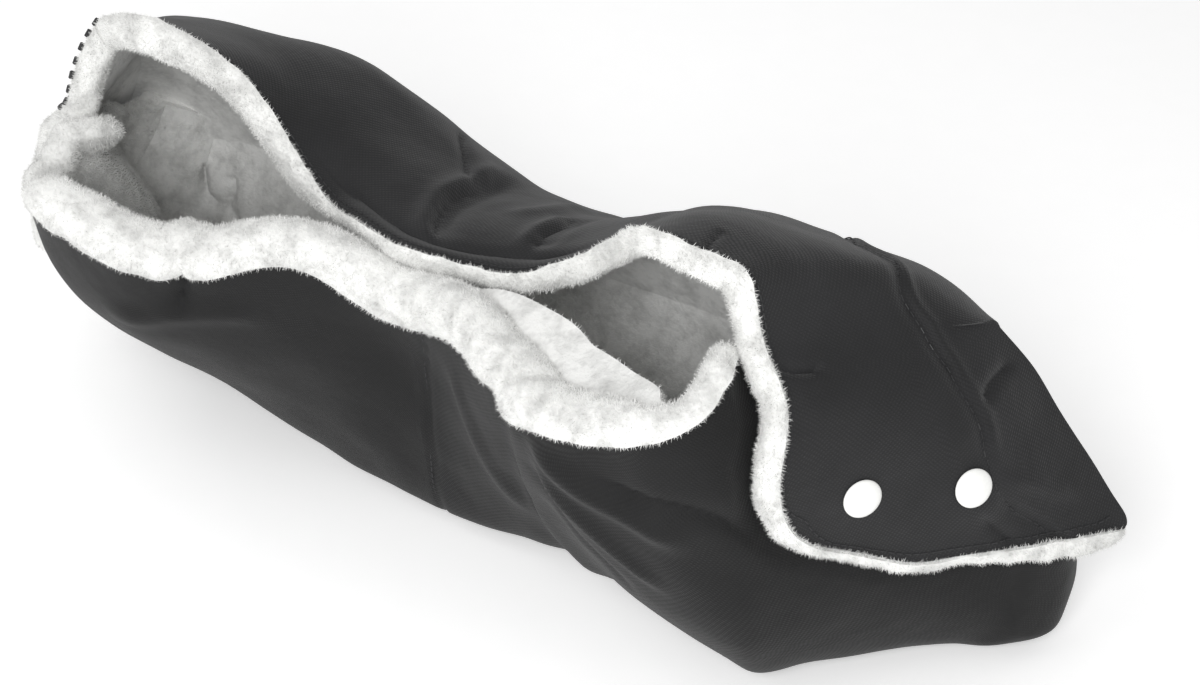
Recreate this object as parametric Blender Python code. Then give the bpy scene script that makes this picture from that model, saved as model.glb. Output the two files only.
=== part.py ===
"""Hand muff that wraps round the handle of a pushchair.

The muff is a quilted cloth panel folded at the rear, so that a lower pouch and an upper cover enclose the
handle. Two mouths at the front let the hands in. At each end a flap of the cover hangs down outside the
pouch and is held by two snap fasteners. X runs along the handle, -Y faces the person who pushes, +Z is up,
and the muff rests on the flat patch under the pouch, with the origin at the middle of its footprint.
"""

import math

import bmesh
import bpy
from mathutils import Matrix, Vector
from mathutils.bvhtree import BVHTree

# Driving sizes of the whole muff, in metres
HALF_WIDTH = 0.268
DEPTH = 0.188
HEIGHT = 0.1974
FOLD_HEIGHT = 0.080
LEFT_TUCK = 0.038
LEFT_PUFF = 0.016

# Layers of the quilted panel, from the outside in
SHELL_THICKNESS = 0.0010
WADDING_THICKNESS = 0.0022
LINING_THICKNESS = 0.0036
LAYER_GAP = 0.0003
HINGE_GAP = 0.0006
WADDING_DEPTH = SHELL_THICKNESS + LAYER_GAP
WADDING_BASE = WADDING_DEPTH + WADDING_THICKNESS
LINING_DEPTH = WADDING_BASE + LAYER_GAP
PANEL_THICKNESS = LINING_DEPTH + LINING_THICKNESS
EDGE_DEPTHS = (PANEL_THICKNESS, LINING_DEPTH, WADDING_BASE, WADDING_DEPTH, SHELL_THICKNESS, 0)

# Plush bands that bind the edges
LIP_WIDTH = 0.019
LIP_HEIGHT = 0.0115
HEM_HEIGHT = 0.0066

# Hook and loop patches that close the middle of the front
PATCH_DEPTH = 0.012
PATCH_THICKNESS = 0.0011
PATCH_INSET = 0.002
PATCH_GAP = 0.0008

# Snap fasteners, and the room that they take between a flap and the wall behind it
CAP_RADIUS = 0.0075
CAP_RIM = 0.0007
CAP_RISE = 0.0024
PRONG_RADIUS = 0.0015
SOCKET_RADIUS = 0.0056
SOCKET_HEIGHT = 0.0028
NIB_RADIUS = 0.0022
NIB_ENGAGEMENT = 0.0013
STUD_RADIUS = 0.0054
STUD_BASE = 0.0012
POST_RADIUS = 0.0056
POST_THICKNESS = 0.0014
SNAP_FIT = 0.0004
SEAT_GAP = 0.0003
SNAP_HEADROOM = 0.0060
SNAP_REACH = PANEL_THICKNESS + SNAP_HEADROOM + PANEL_THICKNESS + SNAP_HEADROOM
FLAP_BLEND = 0.014
WALL_GIVE = 0.008
CUT_OVERRUN = 0.003

# Facets
RAY_STEPS = 2
RAY_ROWS = 7
COVER_COLUMN_STEPS = 3
COVER_ROW_STEPS = 2
PATCH_COLUMNS = 1
FLAP_STEPS = 3
FLAP_ROWS = 8
SNAP_SIDES = 18
SHARP_ANGLE = math.radians(50)

# Shares of the half width, the depth and the height. The pouch is a ring of rays, from the middle of the
# front round the right end to the middle of the rear. Each ray climbs from the flat patch to the rim.
POUCH_SHARES = (
    (
        (0.000, 0.030, 0.000), (0.000, -0.090, 0.043), (0.000, -0.120, 0.238),
        (0.000, -0.140, 0.438), (0.000, -0.200, 0.567),
    ),
    (
        (0.140, 0.030, 0.000), (0.147, -0.080, 0.052), (0.151, -0.170, 0.248),
        (0.151, -0.230, 0.452), (0.151, -0.275, 0.633),
    ),
    (
        (0.281, 0.020, 0.000), (0.298, -0.110, 0.076), (0.309, -0.240, 0.267),
        (0.305, -0.340, 0.457), (0.295, -0.390, 0.605),
    ),
    (
        (0.404, 0.000, 0.000), (0.428, -0.140, 0.086), (0.442, -0.340, 0.290),
        (0.442, -0.430, 0.471), (0.425, -0.455, 0.638),
    ),
    (
        (0.505, -0.040, 0.000), (0.547, -0.190, 0.086), (0.568, -0.360, 0.286),
        (0.561, -0.430, 0.490), (0.533, -0.465, 0.690),
    ),
    (
        (0.572, -0.090, 0.000), (0.618, -0.210, 0.081), (0.653, -0.320, 0.295),
        (0.646, -0.340, 0.514), (0.600, -0.360, 0.724),
    ),
    (
        (0.625, -0.020, 0.000), (0.670, -0.120, 0.081), (0.688, -0.220, 0.305),
        (0.663, -0.230, 0.524), (0.611, -0.220, 0.710),
    ),
    (
        (0.670, 0.040, 0.000), (0.723, -0.025, 0.081), (0.737, -0.110, 0.286),
        (0.723, -0.125, 0.467), (0.709, -0.135, 0.629),
    ),
    (
        (0.719, 0.120, 0.000), (0.775, 0.065, 0.081), (0.804, 0.030, 0.257),
        (0.796, 0.025, 0.448), (0.758, 0.035, 0.652),
    ),
    (
        (0.761, 0.180, 0.000), (0.835, 0.150, 0.067), (0.884, 0.150, 0.210),
        (0.872, 0.165, 0.419), (0.828, 0.200, 0.624),
    ),
    (
        (0.779, 0.210, 0.000), (0.849, 0.190, 0.043), (0.888, 0.185, 0.067),
        (0.902, 0.185, 0.086), (0.909, 0.190, 0.105),
    ),
    (
        (0.786, 0.250, 0.000), (0.856, 0.250, 0.029), (0.898, 0.275, 0.043),
        (0.919, 0.290, 0.052), (0.937, 0.305, 0.062),
    ),
    (
        (0.747, 0.315, 0.000), (0.814, 0.350, 0.024), (0.863, 0.380, 0.038),
        (0.898, 0.395, 0.048), (0.919, 0.405, 0.057),
    ),
)
POUCH_REAR_SHARES = (
    (
        (0.688, 0.350, 0.000), (0.730, 0.415, 0.142), (0.761, 0.450, 0.449),
        (0.786, 0.468, 0.732), (0.800, 0.480, 1.000),
    ),
    (
        (0.484, 0.350, 0.000), (0.495, 0.430, 0.142), (0.502, 0.465, 0.449),
        (0.505, 0.480, 0.732), (0.505, 0.485, 1.000),
    ),
    (
        (0.239, 0.345, 0.000), (0.242, 0.425, 0.142), (0.246, 0.463, 0.449),
        (0.246, 0.475, 0.732), (0.246, 0.480, 1.000),
    ),
    (
        (0.000, 0.340, 0.000), (0.000, 0.420, 0.142), (0.000, 0.458, 0.449),
        (0.000, 0.470, 0.732), (0.000, 0.475, 1.000),
    ),
)
# The cover is a row of ribs, from the middle of the front to the flap, each from the mouth back to the fold
COVER_SHARES = (
    (
        (0.000, -0.170, 0.705), (0.000, 0.020, 0.695), (0.000, 0.210, 0.662),
        (0.000, 0.385, 0.581), (0.000, 0.470, 0.405),
    ),
    (
        (0.151, -0.115, 0.681), (0.154, 0.055, 0.714), (0.158, 0.230, 0.671),
        (0.158, 0.395, 0.576), (0.158, 0.475, 0.405),
    ),
    (
        (0.316, -0.080, 0.838), (0.326, 0.085, 0.819), (0.333, 0.255, 0.752),
        (0.340, 0.405, 0.629), (0.344, 0.480, 0.405),
    ),
    (
        (0.477, -0.215, 0.990), (0.491, -0.025, 0.933), (0.505, 0.175, 0.838),
        (0.519, 0.385, 0.686), (0.526, 0.485, 0.405),
    ),
    (
        (0.582, -0.200, 0.938), (0.618, -0.025, 0.895), (0.663, 0.155, 0.833),
        (0.688, 0.355, 0.700), (0.702, 0.485, 0.405),
    ),
)
HINGE_FRONT_SHARES = (0.614, -0.205, 0.800)
HINGE_REAR_SHARES = (0.793, 0.245, 0.729)
COVER_CORNER_SHARES = (0.758, 0.460, 0.405)
# The flap is a row of ribs from its front edge to its rear edge, each from just below the hinge to the hem
FLAP_SHARES = (
    ((0.649, -0.290, 0.705), (0.677, -0.310, 0.581), (0.691, -0.285, 0.462)),
    ((0.695, -0.210, 0.695), (0.730, -0.190, 0.552), (0.747, -0.165, 0.405)),
    ((0.744, -0.090, 0.681), (0.793, -0.060, 0.524), (0.821, -0.025, 0.343)),
    ((0.793, 0.060, 0.676), (0.863, 0.080, 0.505), (0.905, 0.105, 0.343)),
    ((0.842, 0.290, 0.629), (0.912, 0.320, 0.481), (1.000, 0.360, 0.305)),
)
# The lip along the front rim, for each ray: its width, its height and how upright it stands
LIP_WIDTH_SHARES = (1.00, 0.90, 1.00, 1.00, 1.00, 0.75, 0.42)
LIP_HEIGHT_SHARES = (1.30, 1.10, 1.00, 1.00, 1.00, 0.85, 0.55)
LIP_UPRIGHT_SHARES = (1.00, 0.40, 0.00, 0.00, 0.00, 0.00, 0.00)
# Outlines of the soft bands, across and up from the edge that they bind
LIP_SECTION_SHARES = ((-0.10, 0.40), (0.06, 0.82), (0.42, 1.00), (0.84, 0.80), (1.00, 0.36), (0.94, 0.00))
HEM_SECTION_SHARES = ((0.60, 0.04), (1.00, 0.38), (1.00, 0.66), (0.60, 0.98))
# How far the left of the pouch is tucked back, for each ray and for each point up a ray
LEFT_TUCK_RAY_SHARES = (0.0, 0.0, 0.2, 0.6, 1.0, 1.1, 0.90, 0.6, 0.20, 0.0, 0.0, 0.0, 0.0)
LEFT_TUCK_ROW_SHARES = (0.9, 1.0, 0.75, 0.3, 0.0)
# How far the left of the cover is puffed up, for each rib and for each point back along a rib
LEFT_PUFF_RIB_SHARES = (0.0, 0.8, 1.0, 0.4, 0.0)
LEFT_PUFF_ROW_SHARES = (0.0, 0.5, 1.0, 0.8, 0.0)
# Rounding of a snap's cap, as shares of its radius and rise, and of its other rims
CAP_SHARES = ((0.50, 0.90), (0.85, 0.60))
RIM_SHARE = 0.85
NIB_TIP_SHARE = 0.75
# Places of the two snaps on each flap, as shares of its ribs and of its drop
SNAP_SHARES = {"front": (0.335, 0.72), "rear": (0.690, 0.70)}

# Colour as linear red, green and blue, then roughness and metallic
FINISHES = {
    "shell_cloth": ((0.020, 0.020, 0.021), 0.78, 0.0),
    "wadding": ((0.55, 0.55, 0.53), 0.95, 0.0),
    "plush": ((0.84, 0.84, 0.83), 0.95, 0.0),
    "snap_plastic": ((0.86, 0.86, 0.85), 0.30, 0.0),
    "hook_tape": ((0.08, 0.08, 0.08), 0.85, 0.0),
}


def clear_scene():
    """Remove every object, so that the muff stands alone."""
    for item in list(bpy.data.objects):
        bpy.data.objects.remove(item, do_unlink=True)


def finish_material(node_name, finish):
    """Make the node's own Principled material in one of the finishes."""
    colour, roughness, metallic = FINISHES[finish]
    material = bpy.data.materials.new(node_name)
    material.use_nodes = True
    shader = material.node_tree.nodes["Principled BSDF"]
    shader.inputs["Base Color"].default_value = (*colour, 1.0)
    shader.inputs["Roughness"].default_value = roughness
    shader.inputs["Metallic"].default_value = metallic
    return material


def make_object(node_name, points, faces, finish):
    """Make a closed mesh object from points and faces, with its faces turned outwards."""
    mesh = bpy.data.meshes.new(node_name)
    mesh.from_pydata([tuple(point) for point in points], [], faces)
    form = bmesh.new()
    form.from_mesh(mesh)
    bmesh.ops.recalc_face_normals(form, faces=form.faces)
    form.to_mesh(mesh)
    form.free()
    mesh.materials.append(finish_material(node_name, finish))
    mesh.shade_smooth()
    mesh.set_sharp_from_angle(angle=SHARP_ANGLE)
    piece = bpy.data.objects.new(node_name, mesh)
    bpy.context.collection.objects.link(piece)
    return piece


def mirrored(point):
    """The same point on the left half."""
    return Vector((-point.x, point.y, point.z))


def placed(shares):
    """Turn shares of the half width, depth and height into a point."""
    return Vector((shares[0] * HALF_WIDTH, shares[1] * DEPTH, shares[2] * HEIGHT))


class Path:
    """A smooth path through points that never swings past them."""

    def __init__(self, points, closed=False):
        self.points = points
        self.closed = closed
        count = len(points)
        self.slopes = []
        for index in range(count):
            slope = Vector((0, 0, 0))
            for axis in range(3):
                slope[axis] = self._slope(index, axis, count)
            self.slopes.append(slope)

    def _slope(self, index, axis, count):
        here = self.points[index][axis]
        before = self.points[(index - 1) % count][axis]
        after = self.points[(index + 1) % count][axis]
        if not self.closed and index == 0:
            return after - here
        if not self.closed and index == count - 1:
            return here - before
        rise_in = here - before
        rise_out = after - here
        if rise_in * rise_out <= 0:
            return 0
        return 2 * rise_in * rise_out / (rise_in + rise_out)

    def at(self, place):
        """The point at a place counted in points along the path."""
        count = len(self.points)
        if self.closed:
            place = place % count
        first = int(min(math.floor(place), count - 1 if self.closed else count - 2))
        second = (first + 1) % count
        part = place - first
        keep = 1 - part
        point = self.points[first] * (1 + 2 * part) * keep * keep
        point += self.slopes[first] * part * keep * keep
        point += self.points[second] * part * part * (3 - 2 * part)
        point -= self.slopes[second] * part * part * keep
        return point


def net_grid(columns, column_places, row_places, closed=False):
    """Points of the smooth surface through a net, as one list of points for each column place."""
    row_paths = [Path([column[row] for column in columns], closed) for row in range(len(columns[0]))]
    grid = []
    for place in column_places:
        rib = Path([path.at(place) for path in row_paths])
        grid.append([rib.at(row_place) for row_place in row_places])
    return grid


def places(intervals, steps):
    """Even places over a number of intervals, each cut into steps."""
    return [index / steps for index in range(intervals * steps + 1)]


def grid_normals(grid, closed, outward):
    """Unit normals of a grid, turned to the side that the outward sample points to."""
    columns = len(grid)
    rows = len(grid[0])
    normals = []
    for column in range(columns):
        line = []
        for row in range(rows):
            ahead = (column + 1) % columns if closed else min(column + 1, columns - 1)
            behind = (column - 1) % columns if closed else max(column - 1, 0)
            across = grid[ahead][row] - grid[behind][row]
            along = grid[column][min(row + 1, rows - 1)] - grid[column][max(row - 1, 0)]
            line.append(across.cross(along).normalized())
        normals.append(line)
    middle = normals[outward[0]][outward[1]]
    if middle.dot(outward[2]) < 0:
        normals = [[-normal for normal in line] for line in normals]
    return relaxed(normals, closed)


def relaxed(normals, closed):
    """Normals evened out with their neighbours, so that the layers of a panel don't cross in a fold."""
    columns = len(normals)
    rows = len(normals[0])
    evened = []
    for column in range(columns):
        ahead = (column + 1) % columns if closed else min(column + 1, columns - 1)
        behind = (column - 1) % columns if closed else max(column - 1, 0)
        line = []
        for row in range(rows):
            own = normals[column][row]
            beside = normals[ahead][row] + normals[behind][row]
            along = normals[column][min(row + 1, rows - 1)] + normals[column][max(row - 1, 0)]
            line.append((own * 2 + beside + along).normalized())
        evened.append(line)
    return evened


def sheet_faces(columns, rows, closed, offset, flip):
    """Triangles of one side of a layer: the same diagonals for every layer, mirrored from half to half."""
    faces = []
    for column in range(columns if closed else columns - 1):
        ahead = (column + 1) % columns
        second_half = column >= columns // 2
        for row in range(rows - 1):
            near = column * rows + row + offset
            far = ahead * rows + row + offset
            corners = [near, far, far + 1, near + 1]
            if second_half:
                corners = corners[1:] + corners[:1]
            if flip:
                corners = [corners[0], corners[3], corners[2], corners[1]]
            faces.append([corners[0], corners[1], corners[2]])
            faces.append([corners[0], corners[2], corners[3]])
    return faces


def edge_loop(columns, rows, closed):
    """Point numbers round the open edge of a sheet: its rim if the sheet is a closed ring."""
    if closed:
        return [column * rows + rows - 1 for column in range(columns)]
    loop = [column * rows for column in range(columns)]
    loop += [(columns - 1) * rows + row for row in range(1, rows)]
    loop += [column * rows + rows - 1 for column in range(columns - 2, -1, -1)]
    loop += [row for row in range(rows - 2, 0, -1)]
    return loop


def layer(node_name, grid, normals, outer_depth, inner_depth, finish, closed=False):
    """Make one layer of a panel, between two depths below the outer surface."""
    columns = len(grid)
    rows = len(grid[0])
    points = []
    for depth in (outer_depth, inner_depth):
        for line, directions in zip(grid, normals):
            points += [point - direction * depth for point, direction in zip(line, directions)]
    half = columns * rows
    faces = sheet_faces(columns, rows, closed, 0, False) + sheet_faces(columns, rows, closed, half, True)
    loop = edge_loop(columns, rows, closed)
    for index, corner in enumerate(loop):
        following = loop[(index + 1) % len(loop)]
        faces.append([corner, corner + half, following + half])
        faces.append([corner, following + half, following])
    if closed:
        faces.append([column * rows for column in range(columns)])
        faces.append([column * rows + half for column in range(columns)])
    return make_object(node_name, points, faces, finish)


def panel(name, grid, normals, closed=False):
    """Make the shell, wadding and lining of one panel."""
    return [
        layer(f"{name}_shell", grid, normals, 0, SHELL_THICKNESS, "shell_cloth", closed),
        layer(f"{name}_wadding", grid, normals, WADDING_DEPTH, WADDING_BASE, "wadding", closed),
        layer(f"{name}_lining", grid, normals, LINING_DEPTH, PANEL_THICKNESS, "plush", closed),
    ]


def strip(node_name, sections, finish):
    """Loft a solid through a row of closed cross-sections, with filled ends."""
    count = len(sections[0])
    points = [point for section in sections for point in section]
    faces = []
    for index in range(len(sections) - 1):
        for corner in range(count):
            following = (corner + 1) % count
            start = index * count
            faces.append([start + corner, start + following, start + count + corner])
            faces.append([start + following, start + count + following, start + count + corner])
    faces.append(list(range(count)))
    faces.append([(len(sections) - 1) * count + corner for corner in range(count)])
    return make_object(node_name, points, faces, finish)


def left_rib(rib, index):
    """The left rib that answers a right one, puffed up towards the rear."""
    puff = LEFT_PUFF * LEFT_PUFF_RIB_SHARES[index]
    lifts = [Vector((0, 0, puff * share)) for share in LEFT_PUFF_ROW_SHARES]
    return [mirrored(point) + lift for point, lift in zip(rib, lifts)]


def left_ray(ray, index):
    """The left ray that answers a right one, tucked back below the lip, as the pouch hangs there."""
    tuck = LEFT_TUCK * LEFT_TUCK_RAY_SHARES[index] if index < len(LEFT_TUCK_RAY_SHARES) else 0
    points = []
    for point, share in zip(ray, LEFT_TUCK_ROW_SHARES):
        points.append(mirrored(point) + Vector((0, tuck * share, 0)))
    return points


def square_to(direction, normal):
    """A direction made square to a normal, at unit length."""
    return (direction - normal * direction.dot(normal)).normalized()


def kept_under(grid, skins):
    """Hold the wall of the pouch at one depth under the flaps, so that the snaps fit between them."""
    depth = PANEL_THICKNESS + SNAP_HEADROOM
    for line in grid:
        for index, point in enumerate(line):
            skin = skins["right"] if point.x > 0 else skins["left"]
            near, normal, _, distance = skin.find_nearest(point)
            if index == 0 or distance > depth + FLAP_BLEND + WALL_GIVE:
                continue
            if normal.x * point.x < 0:
                normal = -normal
            height = (point - near).dot(normal)
            beside = math.sqrt(max(distance * distance - height * height, 0))
            move = depth + height
            share = max(0, 1 - beside / FLAP_BLEND)
            if move < 0:
                share *= max(0, 1 + move / WALL_GIVE)
            line[index] = point - normal * move * share
    return grid


def pouch_grid():
    """The outer surface of the pouch, as a closed ring of rays that starts at the middle of the front."""
    rays = [[placed(shares) for shares in ray] for ray in POUCH_SHARES]
    fold_rim = FOLD_HEIGHT - HINGE_GAP / 2
    for ray in POUCH_REAR_SHARES:
        rays.append([Vector((x * HALF_WIDTH, y * DEPTH, z * fold_rim)) for x, y, z in ray])
    rays += [left_ray(rays[index], index) for index in range(len(rays) - 2, 0, -1)]
    ray_places = [index / RAY_STEPS for index in range(len(rays) * RAY_STEPS)]
    row_span = len(rays[0]) - 1
    row_places = [row_span * row / (RAY_ROWS - 1) for row in range(RAY_ROWS)]
    return net_grid(rays, ray_places, row_places, closed=True)


def pouch_normals(grid):
    """Outward directions of the pouch: straight down at its flat patch, straight back at the rear fold."""
    normals = grid_normals(grid, True, (0, RAY_ROWS // 2, Vector((0, -1, 0))))
    fold_rim = FOLD_HEIGHT - HINGE_GAP / 2
    for line, directions in zip(grid, normals):
        directions[0] = Vector((0, 0, -1))
        if abs(line[-1].z - fold_rim) < LAYER_GAP and line[-1].y > 0:
            directions[-1] = Vector((0, 1, 0))
    return normals


def hinge_ends(side):
    """The two ends of a flap's hinge line on the outer skin, front and rear."""
    front = placed(HINGE_FRONT_SHARES)
    rear = placed(HINGE_REAR_SHARES)
    if side == "left":
        return mirrored(front), mirrored(rear)
    return front, rear


def hinge_frame():
    """The right hinge line's direction, the outward direction across it and the way from cover to flap."""
    front, rear = hinge_ends("right")
    axis = (rear - front).normalized()
    cover_rib = placed(COVER_SHARES[-1][1])
    flap_rib = placed(FLAP_SHARES[1][0])
    middle = (front + rear) / 2
    towards_cover = (cover_rib - middle)
    towards_cover = (towards_cover - axis * towards_cover.dot(axis)).normalized()
    towards_flap = (flap_rib - middle)
    towards_flap = (towards_flap - axis * towards_flap.dot(axis)).normalized()
    across = (towards_flap - towards_cover).normalized()
    outward = across.cross(axis)
    if outward.x < 0:
        outward = -outward
    return axis, outward, across


def cover_grid():
    """The outer surface of the cover, from the left hinge line to the right one, mouth to fold."""
    ribs = [[placed(shares) for shares in rib] for rib in COVER_SHARES]
    front, rear = hinge_ends("right")
    corner = placed(COVER_CORNER_SHARES)
    across = hinge_frame()[2]
    spans = len(ribs[0]) - 2
    edge = [front.lerp(rear, row / spans) for row in range(spans + 1)] + [corner]
    left = [left_rib(ribs[index], index) for index in range(len(ribs) - 1, 0, -1)]
    columns = [[mirrored(point) for point in edge]] + left + ribs + [edge]
    fold_line = FOLD_HEIGHT + HINGE_GAP / 2
    for column in columns:
        column[-1].z = fold_line
    row_places = places(len(ribs[0]) - 1, COVER_ROW_STEPS)
    grid = net_grid(columns, places(len(columns) - 1, COVER_COLUMN_STEPS), row_places)
    for index, place in enumerate(row_places):
        first = min(int(place), len(edge) - 2)
        point = edge[first].lerp(edge[first + 1], place - first)
        if place <= spans:
            point = point - across * HINGE_GAP / 2
        if place == row_places[-1]:
            point.z = fold_line
        grid[-1][index] = point
        grid[0][index] = mirrored(point)
    return grid, row_places, spans


def cover_normals(grid, row_places, spans):
    """Outward directions of the cover, square to the fold and to the hinge lines at those edges."""
    normals = grid_normals(grid, False, (len(grid) // 2, 2, Vector((0, 0, 1))))
    outward = hinge_frame()[1]
    for line in normals:
        line[-1] = Vector((0, 1, 0))
    for index, place in enumerate(row_places):
        if place <= spans:
            normals[-1][index] = outward.copy()
            normals[0][index] = mirrored(outward)
    return normals


def flap_grid():
    """The outer surface of the right flap, from its front edge to its rear edge, hinge to hem."""
    front, rear = hinge_ends("right")
    across = hinge_frame()[2]
    spans = len(FLAP_SHARES) - 1
    columns = []
    for index, rib in enumerate(FLAP_SHARES):
        top = front.lerp(rear, index / spans) + across * HINGE_GAP / 2
        columns.append([top] + [placed(shares) for shares in rib])
    row_span = len(columns[0]) - 1
    row_places = [row_span * row / (FLAP_ROWS - 1) for row in range(FLAP_ROWS)]
    column_places = places(spans, FLAP_STEPS)
    grid = net_grid(columns, column_places, row_places)
    for place, line in zip(column_places, grid):
        line[0] = front.lerp(rear, place / spans) + across * HINGE_GAP / 2
    return grid


def flap_normals(grid):
    """Outward directions of the right flap, square to its hinge line there."""
    normals = grid_normals(grid, False, (len(grid) // 2, FLAP_ROWS // 2, Vector((1, 0, 0))))
    outward = hinge_frame()[1]
    for line in normals:
        line[0] = outward.copy()
    return normals


def side_grid(grid, side):
    """A right grid as it is, or its mirror image for the left."""
    if side == "right":
        return grid
    return [[mirrored(point) for point in line] for line in grid]


def ray_share(table, place):
    """Read a table of shares at a place between two of its rays."""
    first = min(int(place), len(table) - 2)
    return table[first] + (table[first + 1] - table[first]) * (place - first)


def lip_top(edge, normal):
    """How high the lip stands under a point of the cover's front edge, with room for the two patches."""
    under = edge - normal * PANEL_THICKNESS
    return under.z - PATCH_GAP - PATCH_THICKNESS - PATCH_GAP - PATCH_THICKNESS - PATCH_GAP


def pouch_band(grid, normals, cover, cover_directions):
    """The thick plush lip along the front rim of the pouch, from one mouth corner to the other."""
    last = (len(LIP_WIDTH_SHARES) - 1) * RAY_STEPS
    sections = []
    for step in range(-last, last + 1):
        line = grid[step % len(grid)]
        inward = -normals[step % len(grid)][-1]
        up = square_to(line[-1] - line[-2], inward)
        place = abs(step) / RAY_STEPS
        width = LIP_WIDTH * ray_share(LIP_WIDTH_SHARES, place)
        height = LIP_HEIGHT * ray_share(LIP_HEIGHT_SHARES, place)
        upright = ray_share(LIP_UPRIGHT_SHARES, place)
        rise = up.lerp(Vector((0, 0, 1)), upright).normalized()
        across = inward.lerp(Vector((inward.x, inward.y, 0)).normalized(), upright).normalized()
        base = line[-1] + up * LAYER_GAP
        if abs(step) < RAY_STEPS:
            column = len(cover) // 2 + round(step * COVER_COLUMN_STEPS / RAY_STEPS)
            room = lip_top(cover[column][0], cover_directions[column][0]) - base.z
            crest = [(a, b) for a, b in LIP_SECTION_SHARES if b > 0]
            height = min((room - across.z * width * a) / (rise.z * b) for a, b in crest)
        crown = [base + across * width * a + rise * height * b for a, b in LIP_SECTION_SHARES]
        sections.append(crown + [base + inward * depth for depth in EDGE_DEPTHS])
    return strip("pouch_lip_band", sections, "plush")


def hem_section(edge, out, inward):
    """One cross-section of the narrow plush band along a cut edge of the panel."""
    out = square_to(out, inward)
    base = edge + out * LAYER_GAP
    crown = [base + out * HEM_HEIGHT * a + inward * PANEL_THICKNESS * b for a, b in HEM_SECTION_SHARES]
    return crown + [base + inward * depth for depth in EDGE_DEPTHS]


def cover_band(grid, normals):
    """The narrow plush band along the mouth edge of the cover."""
    sections = []
    for line, directions in zip(grid[1:-1], normals[1:-1]):
        out = (line[0] - line[1]).normalized()
        sections.append(hem_section(line[0], out, -directions[0]))
    return strip("cover_hem_band", sections, "plush")


def flap_band(node_name, grid, normals):
    """The narrow plush band down the front edge of a flap and along its hem."""
    sections = []
    front = grid[0]
    for row in range(2, len(front) - 1):
        out = (grid[0][row] - grid[1][row]).normalized()
        sections.append(hem_section(front[row], out, -normals[0][row]))
    for index, line in enumerate(grid):
        out = (line[-1] - line[-2]).normalized()
        if index == 0:
            out = (out + (grid[0][-1] - grid[1][-1]).normalized()).normalized()
        sections.append(hem_section(line[-1], out, -normals[index][-1]))
    return strip(node_name, sections[::-1], "plush")


def patches(cover, directions):
    """The loop patch under the cover and the hook patch that it presses on, at the middle of the front."""
    middle = len(cover) // 2
    columns = range(middle - PATCH_COLUMNS, middle + PATCH_COLUMNS + 1)
    loop_depth = PANEL_THICKNESS + PATCH_GAP
    hook_depth = loop_depth + PATCH_THICKNESS + PATCH_GAP
    made = []
    for node_name, depth in (("closure_loop_patch", loop_depth), ("closure_hook_patch", hook_depth)):
        sections = []
        for column in columns:
            line = cover[column]
            normal = directions[column][0]
            along = square_to(line[1] - line[0], normal)
            first = line[0] + along * PATCH_INSET - normal * depth
            second = first + along * PATCH_DEPTH
            under = normal * PATCH_THICKNESS
            sections.append([first, second, second - under, first - under])
        made.append(strip(node_name, sections, "hook_tape"))
    return made


def turned(node_name, profile, origin, axis, finish):
    """Turn a profile of radii and heights about an axis; radii of zero close at the axis."""
    turn = axis.to_track_quat("Z", "Y").to_matrix()
    points = []
    rings = []
    for radius, height in profile:
        if radius == 0:
            rings.append([len(points)])
            points.append(origin + axis * height)
            continue
        ring = []
        for side in range(SNAP_SIDES):
            angle = 2 * math.pi * side / SNAP_SIDES
            ring.append(len(points))
            spoke = Vector((math.cos(angle) * radius, math.sin(angle) * radius, height))
            points.append(origin + turn @ spoke)
        rings.append(ring)
    closed = profile[0][0] != 0
    faces = []
    for index in range(len(rings) if closed else len(rings) - 1):
        low = rings[index]
        high = rings[(index + 1) % len(rings)]
        for side in range(SNAP_SIDES):
            after = (side + 1) % SNAP_SIDES
            if len(low) == 1:
                faces.append([low[0], high[after], high[side]])
            elif len(high) == 1:
                faces.append([low[side], low[after], high[0]])
            else:
                faces.append([low[side], low[after], high[after], high[side]])
    return make_object(node_name, points, faces, finish)


def drill(piece, place, axis, radius, start, end):
    """Cut a round hole through a piece, between two heights on an axis."""
    profile = ((0, end), (radius, end), (radius, start), (0, start))
    cutter = turned(f"{piece.name}_cutter", profile, place, axis, "wadding")
    cut = piece.modifiers.new("hole", "BOOLEAN")
    cut.operation = "DIFFERENCE"
    cut.solver = "EXACT"
    cut.object = cutter
    depsgraph = bpy.context.evaluated_depsgraph_get()
    mesh = bpy.data.meshes.new_from_object(piece.evaluated_get(depsgraph))
    piece.modifiers.clear()
    piece.data = mesh
    bpy.data.objects.remove(cutter, do_unlink=True)


def surface_tree(grid, closed=False):
    """A tree of a surface, for finding where an axis meets it."""
    points = [point for line in grid for point in line]
    return BVHTree.FromPolygons(points, sheet_faces(len(grid), len(grid[0]), closed, 0, False))


def inner_grid(grid, normals):
    """The inner surface of a panel, one panel thickness below its outer surface."""
    return [
        [point - direction * PANEL_THICKNESS for point, direction in zip(line, directions)]
        for line, directions in zip(grid, normals)
    ]


def grid_point(grid, normals, shares):
    """A point and its outward direction, at shares of a grid's columns and rows."""
    column = shares[0] * (len(grid) - 1)
    row = shares[1] * (len(grid[0]) - 1)
    first_column = int(column)
    first_row = int(row)
    found = []
    for table in (grid, normals):
        line = table[first_column]
        next_line = table[first_column + 1]
        near = line[first_row].lerp(line[first_row + 1], row - first_row)
        far = next_line[first_row].lerp(next_line[first_row + 1], row - first_row)
        found.append(near.lerp(far, column - first_column))
    return found[0], found[1].normalized()


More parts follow.
